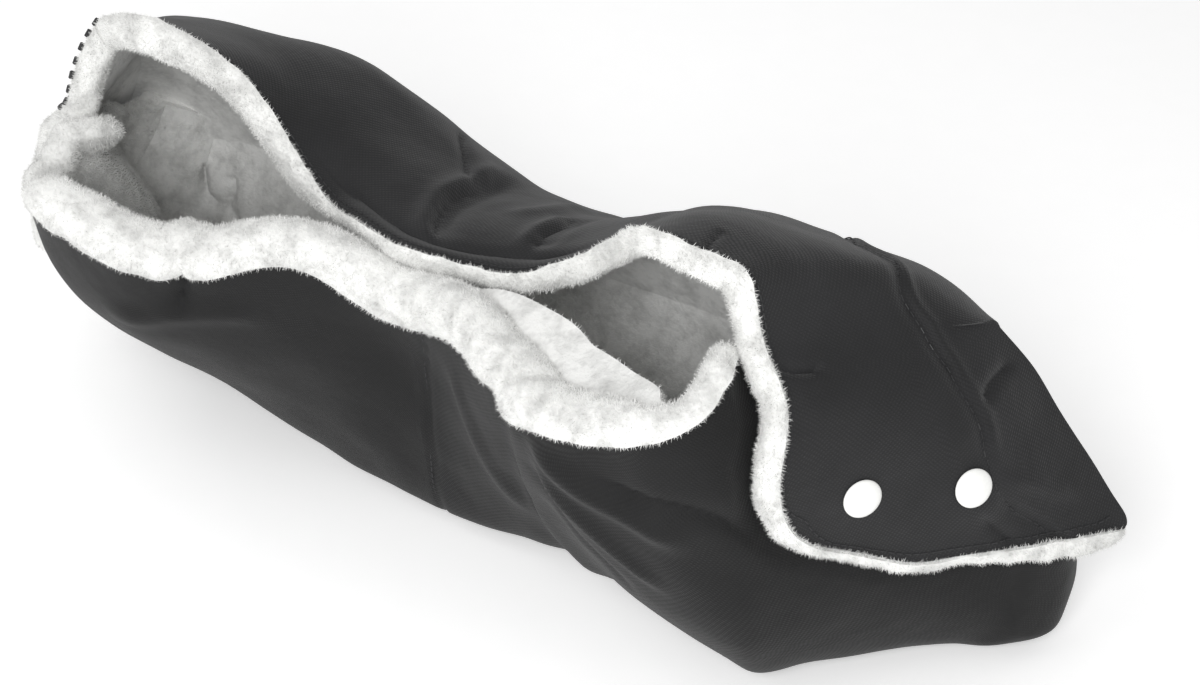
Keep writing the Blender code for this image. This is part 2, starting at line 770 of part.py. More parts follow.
def depths(tree, place, axis, radius, lift):
    """Least and greatest depth of a surface below a place, under a disc square to the axis."""
    turn = axis.to_track_quat("Z", "Y").to_matrix()
    found = []
    for side in range(SNAP_SIDES + 1):
        angle = 2 * math.pi * side / SNAP_SIDES
        spread = radius if side < SNAP_SIDES else 0
        spoke = turn @ Vector((math.cos(angle) * spread, math.sin(angle) * spread, 0))
        hit = tree.ray_cast(place + spoke + axis * lift, -axis)
        if hit[3] is not None and hit[3] - lift < SNAP_REACH:
            found.append(hit[3] - lift)
    return min(found), max(found)


def snap(name, place, axis, flap_trees, pouch_trees):
    """Make the cap, socket, stud and post of one snap, each seated on the cloth that it grips."""
    inside = -PANEL_THICKNESS / 2
    cap_seat = SEAT_GAP - depths(flap_trees["outer"], place, axis, CAP_RADIUS, CAP_RADIUS)[0]
    socket_top = -depths(flap_trees["inner"], place, axis, SOCKET_RADIUS, inside)[1] - SEAT_GAP
    stud_base = -depths(pouch_trees["outer"], place, axis, STUD_RADIUS, inside)[0] + SEAT_GAP
    post_top = -depths(pouch_trees["inner"], place, axis, POST_RADIUS, inside)[1] - SEAT_GAP
    bore = PRONG_RADIUS + SNAP_FIT
    cavity = NIB_RADIUS + SNAP_FIT
    socket_base = socket_top - SOCKET_HEIGHT
    socket_waist = socket_top - SOCKET_HEIGHT / 2
    cap_end = socket_top - SOCKET_HEIGHT / 3
    nib_top = socket_base + NIB_ENGAGEMENT
    stud_top = stud_base + STUD_BASE
    post_end = stud_base + STUD_BASE / 3
    dome = [(CAP_RADIUS * a, cap_seat + CAP_RISE * b) for a, b in CAP_SHARES]
    cap = [(0, cap_seat + CAP_RISE)] + dome + [
        (CAP_RADIUS, cap_seat + CAP_RIM), (CAP_RADIUS, cap_seat), (PRONG_RADIUS, cap_seat),
        (PRONG_RADIUS, cap_end), (0, cap_end),
    ]
    socket = [
        (SOCKET_RADIUS, socket_top), (bore, socket_top), (bore, cap_end - SNAP_FIT),
        (cavity, cap_end - SNAP_FIT),
        (cavity, socket_base), (SOCKET_RADIUS * RIM_SHARE, socket_base), (SOCKET_RADIUS, socket_waist),
    ]
    stud = [
        (0, post_end + SNAP_FIT), (bore, post_end + SNAP_FIT), (bore, stud_base), (STUD_RADIUS, stud_base),
        (STUD_RADIUS, stud_base + STUD_BASE / 2), (STUD_RADIUS * RIM_SHARE, stud_top),
        (NIB_RADIUS * RIM_SHARE, stud_top),
        (NIB_RADIUS, nib_top - NIB_ENGAGEMENT / 2), (NIB_RADIUS * NIB_TIP_SHARE, nib_top),
        (0, nib_top),
    ]
    post = [
        (0, post_end), (PRONG_RADIUS, post_end), (PRONG_RADIUS, post_top), (POST_RADIUS, post_top),
        (POST_RADIUS, post_top - POST_THICKNESS / 2), (POST_RADIUS * RIM_SHARE, post_top - POST_THICKNESS),
        (0, post_top - POST_THICKNESS),
    ]
    worn = [turned(f"{name}_cap", cap, place, axis, "snap_plastic")]
    worn.append(turned(f"{name}_socket", socket, place, axis, "snap_plastic"))
    turned(f"{name}_stud", stud, place, axis, "snap_plastic")
    turned(f"{name}_post", post, place, axis, "snap_plastic")
    return worn, (cap_end, cap_seat), (post_top, stud_base)


def snaps(side, grid, directions, flap_layers, pouch_layers, pouch_trees):
    """Make a flap's two snaps, with a hole for each prong through every layer that it passes."""
    flap_trees = {"outer": surface_tree(grid), "inner": surface_tree(inner_grid(grid, directions))}
    hole = PRONG_RADIUS + SNAP_FIT
    worn = []
    for spot, shares in SNAP_SHARES.items():
        place, axis = grid_point(grid, directions, shares)
        pieces, flap_span, pouch_span = snap(f"{side}_{spot}_snap", place, axis, flap_trees, pouch_trees)
        worn += pieces
        for piece in flap_layers:
            drill(piece, place, axis, hole, flap_span[0] - CUT_OVERRUN, flap_span[1] + CUT_OVERRUN)
        for piece in pouch_layers:
            drill(piece, place, axis, hole, pouch_span[0] - CUT_OVERRUN, pouch_span[1] + CUT_OVERRUN)
    return worn


def hang(pieces, pivot):
    """Put the origins of moving pieces on their joint's axis, with their shapes left in place."""
    for piece in pieces:
        piece.data.transform(Matrix.Translation(-pivot))
        piece.location = pivot


def main():
    """Build the muff: pouch, cover, the two flaps, their bands, the closure patches and the snaps."""
    clear_scene()
    flap = flap_grid()
    flap_directions = flap_normals(flap)
    skins = {side: surface_tree(side_grid(flap, side)) for side in ("right", "left")}
    pouch = kept_under(pouch_grid(), skins)
    pouch_directions = pouch_normals(pouch)
    pouch_layers = panel("pouch", pouch, pouch_directions, closed=True)
    pouch_trees = {
        "outer": surface_tree(pouch, closed=True),
        "inner": surface_tree(inner_grid(pouch, pouch_directions), closed=True),
    }
    cover, row_places, spans = cover_grid()
    cover_directions = cover_normals(cover, row_places, spans)
    cover_pieces = panel("cover", cover, cover_directions)
    cover_pieces.append(cover_band(cover, cover_directions))
    for side in ("right", "left"):
        grid = side_grid(flap, side)
        directions = side_grid(flap_directions, side)
        flap_pieces = panel(f"{side}_flap", grid, directions)
        worn = snaps(side, grid, directions, flap_pieces, pouch_layers, pouch_trees)
        flap_pieces.append(flap_band(f"{side}_flap_hem_band", grid, directions))
        hang(flap_pieces + worn, hinge_ends(side)[0])
    pouch_band(pouch, pouch_directions, cover, cover_directions)
    cover_pieces.append(patches(cover, cover_directions)[0])
    hang(cover_pieces, Vector((0, placed(COVER_SHARES[3][-1]).y, FOLD_HEIGHT)))


if __name__ == "__main__":
    main()
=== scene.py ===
"""Stroller hand muff: the looks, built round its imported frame.

A quilted cloth muff stands on a pale floor. A charcoal shell, a fibre wadding and a white plush lining make
one panel, folded at the rear into a lower pouch and an upper cover. Two mouths open at the front, each bound
with plush, and at each end a flap hangs outside the pouch and is held by two snaps. X runs along the handle,
-Y faces the person who pushes, and +Z is up. All sizes are in metres.
"""

import logging
import math
from dataclasses import dataclass
from enum import Enum
from typing import Callable, NamedTuple, Optional, Sequence, Union

import bpy
import numpy as np
from mathutils import Matrix, Vector, noise
from mathutils.bvhtree import BVHTree


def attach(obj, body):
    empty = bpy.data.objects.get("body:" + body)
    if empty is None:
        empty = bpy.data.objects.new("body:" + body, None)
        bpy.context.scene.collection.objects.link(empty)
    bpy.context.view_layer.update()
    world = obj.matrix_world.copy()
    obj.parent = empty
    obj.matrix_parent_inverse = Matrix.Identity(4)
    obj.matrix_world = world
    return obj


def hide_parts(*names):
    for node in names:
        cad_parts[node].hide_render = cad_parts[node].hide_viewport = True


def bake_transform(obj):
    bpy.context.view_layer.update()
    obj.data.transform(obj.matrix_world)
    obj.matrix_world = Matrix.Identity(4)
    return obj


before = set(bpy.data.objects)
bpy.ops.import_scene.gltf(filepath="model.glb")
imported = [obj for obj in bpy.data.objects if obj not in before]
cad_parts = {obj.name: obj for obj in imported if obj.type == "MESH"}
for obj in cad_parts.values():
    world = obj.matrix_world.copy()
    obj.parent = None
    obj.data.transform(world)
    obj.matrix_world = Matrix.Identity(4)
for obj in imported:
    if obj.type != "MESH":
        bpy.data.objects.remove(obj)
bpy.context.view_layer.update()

LOG = logging.getLogger("hand_muff")

Place = tuple[float, float]
Spot = tuple[float, float, float]
Rib = tuple[Spot, ...]
# Marks along an edge, and the sizes at those marks
Profile = tuple[Sequence[float], Sequence[float]]

# One unit of the drawing that the nets are read from
NET_UNIT = 0.00094
# Rays of the pouch, all the way round
RAYS = 32
# Column places of the mantle: where the right flap's strip starts on the cover, and the right hinge
STRIP_START, HINGE = 9, 10
# Rows of the cover that run along a hinge, and steps of a flap's net from hinge to hem
HINGE_ROWS, DROPS = 3, 3
# Steps of the cover's and the pouch's nets down the cloth
ROWS = 4
# Height of the rear fold
FOLD_HEIGHT = 0.080
# Below this, a length counts as none
TINY = 1e-12
UP = np.array((0.0, 0.0, 1.0))
MIRROR = np.array((-1, 1, 1))


def net_points(points: Sequence) -> np.ndarray:
    """Points of a net, turned from units of the drawing into metres."""
    return np.array(points, float) * NET_UNIT


def linear(code: str) -> tuple[float, float, float, float]:
    """Turn an sRGB hex colour into linear red, green, blue and alpha.

    Args:
        code: Six hex digits after a hash sign.

    Returns:
        The colour as Blender's shaders take it.
    """
    channels = [int(code[index:index + 2], 16) / 255 for index in (1, 3, 5)]
    red, green, blue = (c / 12.92 if c <= 0.04045 else ((c + 0.055) / 1.055) ** 2.4 for c in channels)
    return red, green, blue, 1.0


def unit(vectors: np.ndarray) -> np.ndarray:
    """Scale vectors along the last axis to unit length."""
    return vectors / np.maximum(np.linalg.norm(vectors, axis=-1, keepdims=True), TINY)


def eased(share: np.ndarray) -> np.ndarray:
    """Turn a share into one that starts and ends gently, held between 0 and 1."""
    share = np.clip(share, 0, 1)
    return share * share * (3 - 2 * share)


def slopes(points: np.ndarray, closed: bool) -> np.ndarray:
    """Slopes at the points of a smooth path that never swings past them.

    Args:
        points: Points along the first axis.
        closed: Whether the path runs back to its start.

    Returns:
        One slope for each point, in the same shape.
    """
    after = np.roll(points, -1, axis=0) - points
    before = points - np.roll(points, 1, axis=0)
    total = before + after
    safe = np.where(np.abs(total) < TINY, 1, total)
    found = np.where(before * after > 0, 2 * before * after / safe, 0)
    if not closed:
        found[0] = after[0]
        found[-1] = before[-1]
    return found


def along(points: np.ndarray, places: np.ndarray, closed: bool) -> np.ndarray:
    """Read a smooth path at places counted in its points.

    Args:
        points: Points along the first axis.
        places: Where to read, from 0 for the first point.
        closed: Whether the path runs back to its start.

    Returns:
        One point for each place.
    """
    count = len(points)
    tangents = slopes(points, closed)
    places = places % count if closed else np.clip(places, 0, count - 1)
    first = np.minimum(np.floor(places).astype(int), count - (1 if closed else 2))
    second = (first + 1) % count
    part = (places - first).reshape((-1,) + (1,) * (points.ndim - 1))
    keep = 1 - part
    near = points[first] * (1 + 2 * part) * keep * keep + tangents[first] * part * keep * keep
    far = points[second] * part * part * (3 - 2 * part) - tangents[second] * part * part * keep
    return near + far


def net_grid(net: np.ndarray, columns: np.ndarray, rows: np.ndarray, closed: bool) -> np.ndarray:
    """Read the smooth surface through a net of ribs, at every column place and row place."""
    across = along(net, columns, closed)
    return np.swapaxes(along(np.swapaxes(across, 0, 1), rows, False), 0, 1)


def softened(grid: np.ndarray, closed: bool, passes: int) -> np.ndarray:
    """Even out a grid with its neighbours, with open edges held where they are.

    Args:
        grid: Points by column and row.
        closed: Whether the columns form a ring.
        passes: How many times each point moves half way to its neighbours.

    Returns:
        The evened grid.
    """
    grid = grid.copy()
    for _ in range(passes):
        mean = (np.roll(grid, 1, axis=0) + 2 * grid + np.roll(grid, -1, axis=0)) / 4
        if not closed:
            mean[0], mean[-1] = grid[0], grid[-1]
        grid = mean
        inner = (grid[:, :-2] + 2 * grid[:, 1:-1] + grid[:, 2:]) / 4
        grid[:, 1:-1] = inner
    return grid


def facing(grid: np.ndarray, closed: bool) -> np.ndarray:
    """Unit directions square to a grid, away from the side where its columns run to the right of its rows."""
    if closed:
        across = np.roll(grid, -1, axis=0) - np.roll(grid, 1, axis=0)
    else:
        across = np.gradient(grid, axis=0)
    return unit(np.cross(across, np.gradient(grid, axis=1)))


def rumple(points: np.ndarray, size: float, shift: float) -> np.ndarray:
    """Smooth hills and hollows that depend only on place, about -1 to 1.

    Args:
        points: Where to read them.
        size: Distance from hill to hill.
        shift: Moves the pattern, so that two of them differ.

    Returns:
        One height for each point.
    """
    flat = points.reshape(-1, 3) / size + shift
    found = np.array([noise.noise(Vector(point)) for point in flat])
    return found.reshape(points.shape[:-1])


@dataclass
class Skin:
    """A dense surface of one panel, as a grid of points with outward directions.

    Columns and rows are counted in the places of the net that the grid was read from, and the columns of a
    closed skin form a ring.
    """

    points: np.ndarray
    outward: np.ndarray
    columns: np.ndarray
    rows: np.ndarray
    closed: bool = False

    def at(self, place: Place) -> np.ndarray:
        """The point at a column place and row place."""
        column = float(np.interp(place[0], self.columns, np.arange(len(self.columns))))
        row = float(np.interp(place[1], self.rows, np.arange(len(self.rows))))
        first, low = min(int(column), len(self.columns) - 2), min(int(row), len(self.rows) - 2)
        near = self.points[first, low:low + 2]
        far = self.points[first + 1, low:low + 2]
        lines = near + (far - near) * (column - first)
        return lines[0] + (lines[1] - lines[0]) * (row - low)

    def direction(self, place: Place) -> np.ndarray:
        """The outward direction at a column place and row place."""
        return unit(Skin(self.outward, self.outward, self.columns, self.rows).at(place))

    def raised(self, heights: np.ndarray) -> "Skin":
        """The skin moved outwards by a height at each point, with its directions found again."""
        points = self.points + self.outward * heights[..., None]
        outward = facing(points, self.closed)
        side = np.sign((outward * self.outward).sum(axis=-1, keepdims=True))
        outward = softened(outward * np.where(side == 0, 1, side), self.closed, passes=2)
        return Skin(points, unit(outward), self.columns, self.rows, self.closed)

    def inside(self, depth: float) -> np.ndarray:
        """The surface at a depth below the skin."""
        return self.points - self.outward * depth

    def tree(self) -> BVHTree:
        """A tree of the skin, for finding the nearest place on it."""
        faces = quads(self.points.shape[:2], self.closed)
        return BVHTree.FromPolygons(self.points.reshape(-1, 3).tolist(), faces.tolist())


def quads(shape: tuple[int, int], closed: bool) -> np.ndarray:
    """Corner numbers of the faces of a grid, with one row of four for each face."""
    columns, rows = shape
    starts = np.arange(columns if closed else columns - 1)
    column, row = np.meshgrid(starts, np.arange(rows - 1), indexing="ij")
    ahead = (column + 1) % columns
    corners = (column * rows + row, ahead * rows + row, ahead * rows + row + 1, column * rows + row + 1)
    return np.stack([corner.ravel() for corner in corners], axis=1)


def placed(name: str, data: bpy.types.ID) -> bpy.types.Object:
    """A new object of the scene, with its data."""
    made = bpy.data.objects.new(name, data)
    bpy.context.collection.objects.link(made)
    return made


def mesh_object(name: str, points: np.ndarray, faces: Sequence, material: bpy.types.Material,
                chart: Optional[np.ndarray] = None, crisp: float = 60.0) -> bpy.types.Object:
    """Make a smooth-shaded mesh object whose place is in its mesh.

    Args:
        name: The piece's name.
        points: Its points.
        faces: Corner numbers of its faces, wound to face outwards or all inwards.
        material: Its finish.
        chart: A flat map place for each point, in metres.
        crisp: Angle in degrees above which an edge stays sharp.

    Returns:
        The new object.
    """
    faces = [list(face) for face in faces]
    if signed_volume(points, faces) < 0:
        faces = [face[::-1] for face in faces]
    mesh = bpy.data.meshes.new(name)
    mesh.from_pydata(points.tolist(), [], faces)
    if chart is not None:
        layer = mesh.uv_layers.new(name="cloth")
        corners = np.empty(len(mesh.loops), dtype=np.int32)
        mesh.loops.foreach_get("vertex_index", corners)
        layer.data.foreach_set("uv", chart[corners].astype(np.float32).ravel())
    mesh.materials.append(material)
    mesh.shade_smooth()
    mesh.set_sharp_from_angle(angle=math.radians(crisp))
    return placed(name, mesh)


def signed_volume(points: np.ndarray, faces: Sequence) -> float:
    """Volume inside closed faces, below zero where they face inwards."""
    total = 0.0
    four = np.array([face for face in faces if len(face) == 4])
    for corners in ((0, 1, 2), (0, 2, 3)):
        if len(four):
            first, second, third = (points[four[:, corner]] for corner in corners)
            total += float((first * np.cross(second, third)).sum())
    for face in faces:
        if len(face) == 4:
            continue
        for index in range(1, len(face) - 1):
            total += float(points[face[0]] @ np.cross(points[face[index]], points[face[index + 1]]))
    return total / 6


def solid(name: str, outer: np.ndarray, inner: np.ndarray, material: bpy.types.Material, closed: bool = False,
          kept: Optional[np.ndarray] = None, floor: bool = False) -> bpy.types.Object:
    """Make a closed layer between two grids, with a wall round every open edge.

    Args:
        name: The piece's name.
        outer: The outer grid.
        inner: The inner grid.
        material: The finish.
        closed: Whether the columns form a ring.
        kept: Which faces of the grid belong to the piece; all of them where left out.
        floor: Whether the ring of the first row is filled instead of walled.

    Returns:
        The new object.
    """
    columns, rows = outer.shape[:2]
    half = columns * rows
    skin = quads((columns, rows), closed)
    if kept is not None:
        skin = skin[kept.ravel()]
    start = np.concatenate([skin[:, corner] for corner in range(4)])
    end = np.concatenate([skin[:, (corner + 1) % 4] for corner in range(4)])
    count = 2 * half
    rim = ~np.isin(start * count + end, end * count + start)
    start, end = start[rim], end[rim]
    if floor:
        wall = ~((start % rows == 0) & (end % rows == 0))
        start, end = start[wall], end[wall]
    walls = np.stack([end, start, start + half, end + half], axis=1)
    faces = np.concatenate([skin, skin[:, ::-1] + half, walls]).tolist()
    if floor:
        ring = [column * rows for column in range(columns)]
        faces.append(ring[::-1])
        faces.append([corner + half for corner in ring])
    points = np.concatenate([outer.reshape(-1, 3), inner.reshape(-1, 3)])
    chart = cloth_chart(outer)
    used = np.zeros(len(points), dtype=bool)
    for face in faces:
        used[face] = True
    renumber = np.cumsum(used) - 1
    faces = [[int(renumber[corner]) for corner in face] for face in faces]
    return mesh_object(name, points[used], faces, material, np.concatenate([chart, chart])[used])


def gone(grid: np.ndarray, axis: int) -> np.ndarray:
    """How far each point of a grid lies from the grid's start, along the cloth and along one axis."""
    steps = np.linalg.norm(np.diff(grid, axis=axis), axis=-1)
    start = np.zeros_like(steps.take([0], axis=axis))
    return np.concatenate([start, np.cumsum(steps, axis=axis)], axis=axis)


def cloth_chart(grid: np.ndarray) -> np.ndarray:
    """Flat map places of a grid: how far each point lies across the columns and down the rows."""
    return np.stack([gone(grid, 0).ravel(), gone(grid, 1).ravel()], axis=1)


def cloth_size(grid: np.ndarray, kept: Optional[np.ndarray] = None) -> tuple[tuple[float, float], float]:
    """The cut size of a cloth: its longest ways across and down, and its area."""
    chart = cloth_chart(grid)
    across = np.diff(grid, axis=0)[:, :-1]
    down = np.diff(grid, axis=1)[:-1]
    areas = np.linalg.norm(np.cross(across, down), axis=-1)
    if kept is not None:
        areas = areas * kept[:areas.shape[0]]
    return (float(chart[:, 0].max()), float(chart[:, 1].max())), float(areas.sum())


def add_node(tree: bpy.types.NodeTree, kind: str, settings: Optional[dict] = None,
             links: Optional[dict] = None) -> bpy.types.Node:
    """Add a node with its settings and links.

    Args:
        tree: The shader or geometry tree.
        kind: Blender's name of the node type.
        settings: Node properties by name, and socket values by index or socket name.
        links: Sockets that feed the node's inputs, by index or socket name.

    Returns:
        The new node.
    """
    node = tree.nodes.new(kind)
    for key, value in (settings or {}).items():
        if isinstance(key, str) and hasattr(node, key):
            setattr(node, key, value)
        else:
            node.inputs[key].default_value = value
    for key, socket in (links or {}).items():
        tree.links.new(socket, node.inputs[key])
    return node


class Dressing:
    """The node tree of one material, with the nodes that the finishes share."""

    def __init__(self, tree: bpy.types.NodeTree) -> None:
        """Start from the shader and the piece's own coordinates.

        Args:
            tree: The material's node tree.
        """
        self.tree = tree
        self.shader = tree.nodes["Principled BSDF"]
        self.place = add_node(tree, "ShaderNodeTexCoord").outputs

    def noise(self, scale: float, detail: float = 2.0, roughness: float = 0.5,
              vector: Optional[bpy.types.NodeSocket] = None) -> bpy.types.NodeSocket:
        """Add noise over the piece.

        Args:
            scale: Hills in a metre.
            detail: How many times it is refined.
            roughness: How strong the refinements are.
            vector: Where it is read, if not at the object's coordinates.

        Returns:
            The noise's height.
        """
        settings = {"Scale": scale, "Detail": detail, "Roughness": roughness}
        return add_node(self.tree, "ShaderNodeTexNoise", settings,
                        {"Vector": vector or self.place["Object"]}).outputs["Fac"]

    def tone(self, share: bpy.types.NodeSocket, first: str, second: str) -> bpy.types.NodeSocket:
        """A colour that goes from a first hex colour to a second one as the share goes from 0 to 1."""
        mix = add_node(self.tree, "ShaderNodeMix", {"data_type": "RGBA"}, {"Factor": share})
        mix.inputs[6].default_value = linear(first)
        mix.inputs[7].default_value = linear(second)
        return mix.outputs[2]

    def bump(self, height: bpy.types.NodeSocket, strength: float, distance: float,
             under: Optional[bpy.types.NodeSocket] = None) -> bpy.types.NodeSocket:
        """Small relief, on top of another one if that is given."""
        links = {"Height": height, **({"Normal": under} if under else {})}
        settings = {"Strength": strength, "Distance": distance}
        return add_node(self.tree, "ShaderNodeBump", settings, links).outputs["Normal"]

    def wear(self, values: dict[str, object], **links: bpy.types.NodeSocket) -> None:
        """Set the shader's values, and link its inputs.

        Args:
            values: Value for each of the shader's inputs that stays the same everywhere.
            links: Socket for each other input, with low lines in place of spaces in its name.
        """
        for label, value in values.items():
            self.shader.inputs[label].default_value = value
        for label, socket in links.items():
            self.tree.links.new(socket, self.shader.inputs[label.replace("_", " ")])


class Finish:
    """A material that a piece is dressed in."""

    name: str = "finish"

    def material(self) -> bpy.types.Material:
        """The material, made once and then shared."""
        made = bpy.data.materials.get(self.name)
        if made is None:
            made = bpy.data.materials.new(self.name)
            made.use_nodes = True
            self.dress(Dressing(made.node_tree))
        return made

    def dress(self, dressing: Dressing) -> None:
        """Set the shader and its textures."""
        raise NotImplementedError


@dataclass(frozen=True)
class WovenShell(Finish):
    """Charcoal polyester, woven and lightly brushed.

    It gives the eye a matt dark face with a faint diagonal weave and a soft bloom where it turns away.
    """

    name: str = "charcoal_polyester_weave"
    dark: str = "#121213"
    light: str = "#29292b"
    # The real threads lie 0.35 mm apart; they are drawn at 1.3 mm so that the weave shows
    thread: float = 0.0013
    slant: float = 38.0
    cloud: float = 0.030
    ripple: float = 0.011
    sheen: float = 0.14

    def dress(self, dressing: Dressing) -> None:
        """Set a crossed weave, a cloudy tone and small rumples."""
        tree = dressing.tree
        turned = add_node(tree, "ShaderNodeMapping", {"Rotation": (0, 0, math.radians(self.slant))},
                          {"Vector": dressing.place["UV"]}).outputs["Vector"]
        # A wave texture at scale 1 turns 20 radians in a unit
        bands = {"Scale": math.tau / 20 / self.thread, "Distortion": 0.8, "Detail": 1.0}
        weft, warp = (
            add_node(tree, "ShaderNodeTexWave", {"bands_direction": way, **bands}, {"Vector": turned})
            for way in ("X", "Y")
        )
        weave = add_node(tree, "ShaderNodeMath", {"operation": "MULTIPLY"},
                         {0: weft.outputs["Fac"], 1: warp.outputs["Fac"]}).outputs["Value"]
        tone = dressing.tone(dressing.noise(1 / self.cloud, detail=4.0), self.dark, self.light)
        shade = add_node(tree, "ShaderNodeMix",
                         {"data_type": "RGBA", "blend_type": "MULTIPLY", "Factor": 0.35}, {6: tone, 7: weave})
        rippled = dressing.bump(dressing.noise(1 / self.ripple, detail=3.0), strength=0.35, distance=0.0016)
        dressing.wear(
            {"Roughness": 0.72, "Specular IOR Level": 0.35,
             "Sheen Weight": self.sheen, "Sheen Roughness": 0.5},
            Base_Color=shade.outputs[2],
            Normal=dressing.bump(weave, strength=0.32, distance=0.0005, under=rippled),
        )


@dataclass(frozen=True)
class PlushPile(Finish):
    """White polyester plush, knitted and brushed up into a short pile.

    It gives the eye a bright soft face, mottled where the pile parts, with painted shade where the pile
    stands low.
    """

    name: str = "white_plush_pile"
    bright: str = "#ebebe9"
    # Grey of the low places of the pile: partly its own mottling, partly painted shade
    shade: str = "#c4c4c2"
    tuft: float = 0.0022
    clump: float = 0.009

    def dress(self, dressing: Dressing) -> None:
        """Set tufts, clumps and a mottled tone, with painted shade where they are low."""
        tuft = dressing.noise(1 / self.tuft, detail=3.0, roughness=0.65)
        clump = dressing.noise(1 / self.clump)
        both = add_node(dressing.tree, "ShaderNodeMath", {"operation": "MULTIPLY_ADD", 1: 0.5},
                        {0: tuft, 2: clump})
        ramp = add_node(dressing.tree, "ShaderNodeValToRGB", {}, {"Fac": both.outputs["Value"]})
        # Where the tufts and clumps are low the ramp gives the grey: the pile's own mottling, with painted
        # shade in its hollows
        stops = ((0.45, self.shade), (0.85, self.bright))
        for element, (position, code) in zip(ramp.color_ramp.elements, stops):
            element.position = position
            element.color = linear(code)
        clumped = dressing.bump(clump, strength=0.3, distance=0.0016)
        dressing.wear(
            {"Roughness": 0.95, "Specular IOR Level": 0.15, "Sheen Weight": 0.30, "Sheen Roughness": 0.6},
            Base_Color=ramp.outputs["Color"],
            Normal=dressing.bump(tuft, strength=0.7, distance=0.0011, under=clumped),
        )


@dataclass(frozen=True)
class FibreWadding(Finish):
    """Off-white polyester wadding, blown into a loose mat.

    It gives the eye a dull woolly layer with streaks of fibre.
    """

    name: str = "polyester_wadding"
    bright: str = "#e3e2dc"
    shade: str = "#bdbcb6"
    # Fibres in a metre
    fibres: float = 450.0

    def dress(self, dressing: Dressing) -> None:
        """Set streaky fibres."""
        streak = add_node(dressing.tree, "ShaderNodeMapping", {"Scale": (1, 3, 1)},
                          {"Vector": dressing.place["Object"]})
        fibre = dressing.noise(self.fibres, detail=5.0, vector=streak.outputs["Vector"])
        dressing.wear({"Roughness": 1.0, "Specular IOR Level": 0.1},
                      Base_Color=dressing.tone(fibre, self.shade, self.bright),
                      Normal=dressing.bump(fibre, strength=0.5, distance=0.0008))


@dataclass(frozen=True)
class SnapPlastic(Finish):
    """White acetal, injection moulded and tumbled.

    It gives the eye a smooth satin dome with faint scuffs.
    """

    name: str = "moulded_acetal"
    bright: str = "#f6f6f4"
    shade: str = "#e6e6e3"
    # Scuffs in a metre
    scuffs: float = 700.0

    def dress(self, dressing: Dressing) -> None:
        """Set faint scuffs in tone and gloss."""
        scuff = dressing.noise(self.scuffs, detail=6.0, roughness=0.7)
        gloss = add_node(dressing.tree, "ShaderNodeMapRange", {"To Min": 0.30, "To Max": 0.46},
                         {"Value": scuff})
        dressing.wear({"IOR": 1.48}, Base_Color=dressing.tone(scuff, self.shade, self.bright),
                      Roughness=gloss.outputs["Result"],
                      Normal=dressing.bump(scuff, strength=0.08, distance=0.0002))


@dataclass(frozen=True)
class HookTape(Finish):
    """Dark nylon hook-and-loop tape, woven with a raised face.

    It gives the eye a coarse dull strip with rows of tiny loops.
    """

    name: str = "nylon_hook_tape"
    dark: str = "#2a2a2b"
    light: str = "#4a4a4c"
    row: float = 0.0012

    def dress(self, dressing: Dressing) -> None:
        """Set rows of small cells."""
        cells = add_node(dressing.tree, "ShaderNodeTexVoronoi", {"Scale": 1 / self.row, "Randomness": 0.3},
                         {"Vector": dressing.place["Object"]}).outputs["Distance"]
        dressing.wear({"Roughness": 0.88}, Base_Color=dressing.tone(cells, self.light, self.dark),
                      Normal=dressing.bump(cells, strength=0.6, distance=0.0005))


@dataclass(frozen=True)
class SewingThread(Finish):
    """Black polyester thread, twisted from three plies.

    It gives the eye a fine dark line with a slight gloss.
    """

    name: str = "polyester_thread"
    dark: str = "#161617"
    light: str = "#2c2c2e"
    # Turns of the plies in a metre
    turns: float = 2200.0

    def dress(self, dressing: Dressing) -> None:
        """Set the twist of the plies."""
        twist = dressing.noise(self.turns)
        dressing.wear({"Roughness": 0.55}, Base_Color=dressing.tone(twist, self.dark, self.light))


@dataclass(frozen=True)
class StudioFloor(Finish):
    """Pale matt paper, laid as a sweep.

    It gives the eye an even white ground; the glow stands for the light that comes through it.
    """

    name: str = "pale_paper"
    glow: float = 0.32
    bright: str = "#fbfbfb"
    shade: str = "#f7f7f7"
    # Grains in a metre
    grains: float = 60.0

    def dress(self, dressing: Dressing) -> None:
        """Set a very faint grain."""
        dressing.wear({"Roughness": 0.9, "Emission Color": linear("#ffffff"), "Emission Strength": self.glow},
                      Base_Color=dressing.tone(dressing.noise(self.grains), self.shade, self.bright))


class FoldForm(Enum):
    """How the cloth stands along a fold."""

    VALLEY = "valley"
    RIDGE = "ridge"
    STEP = "step"


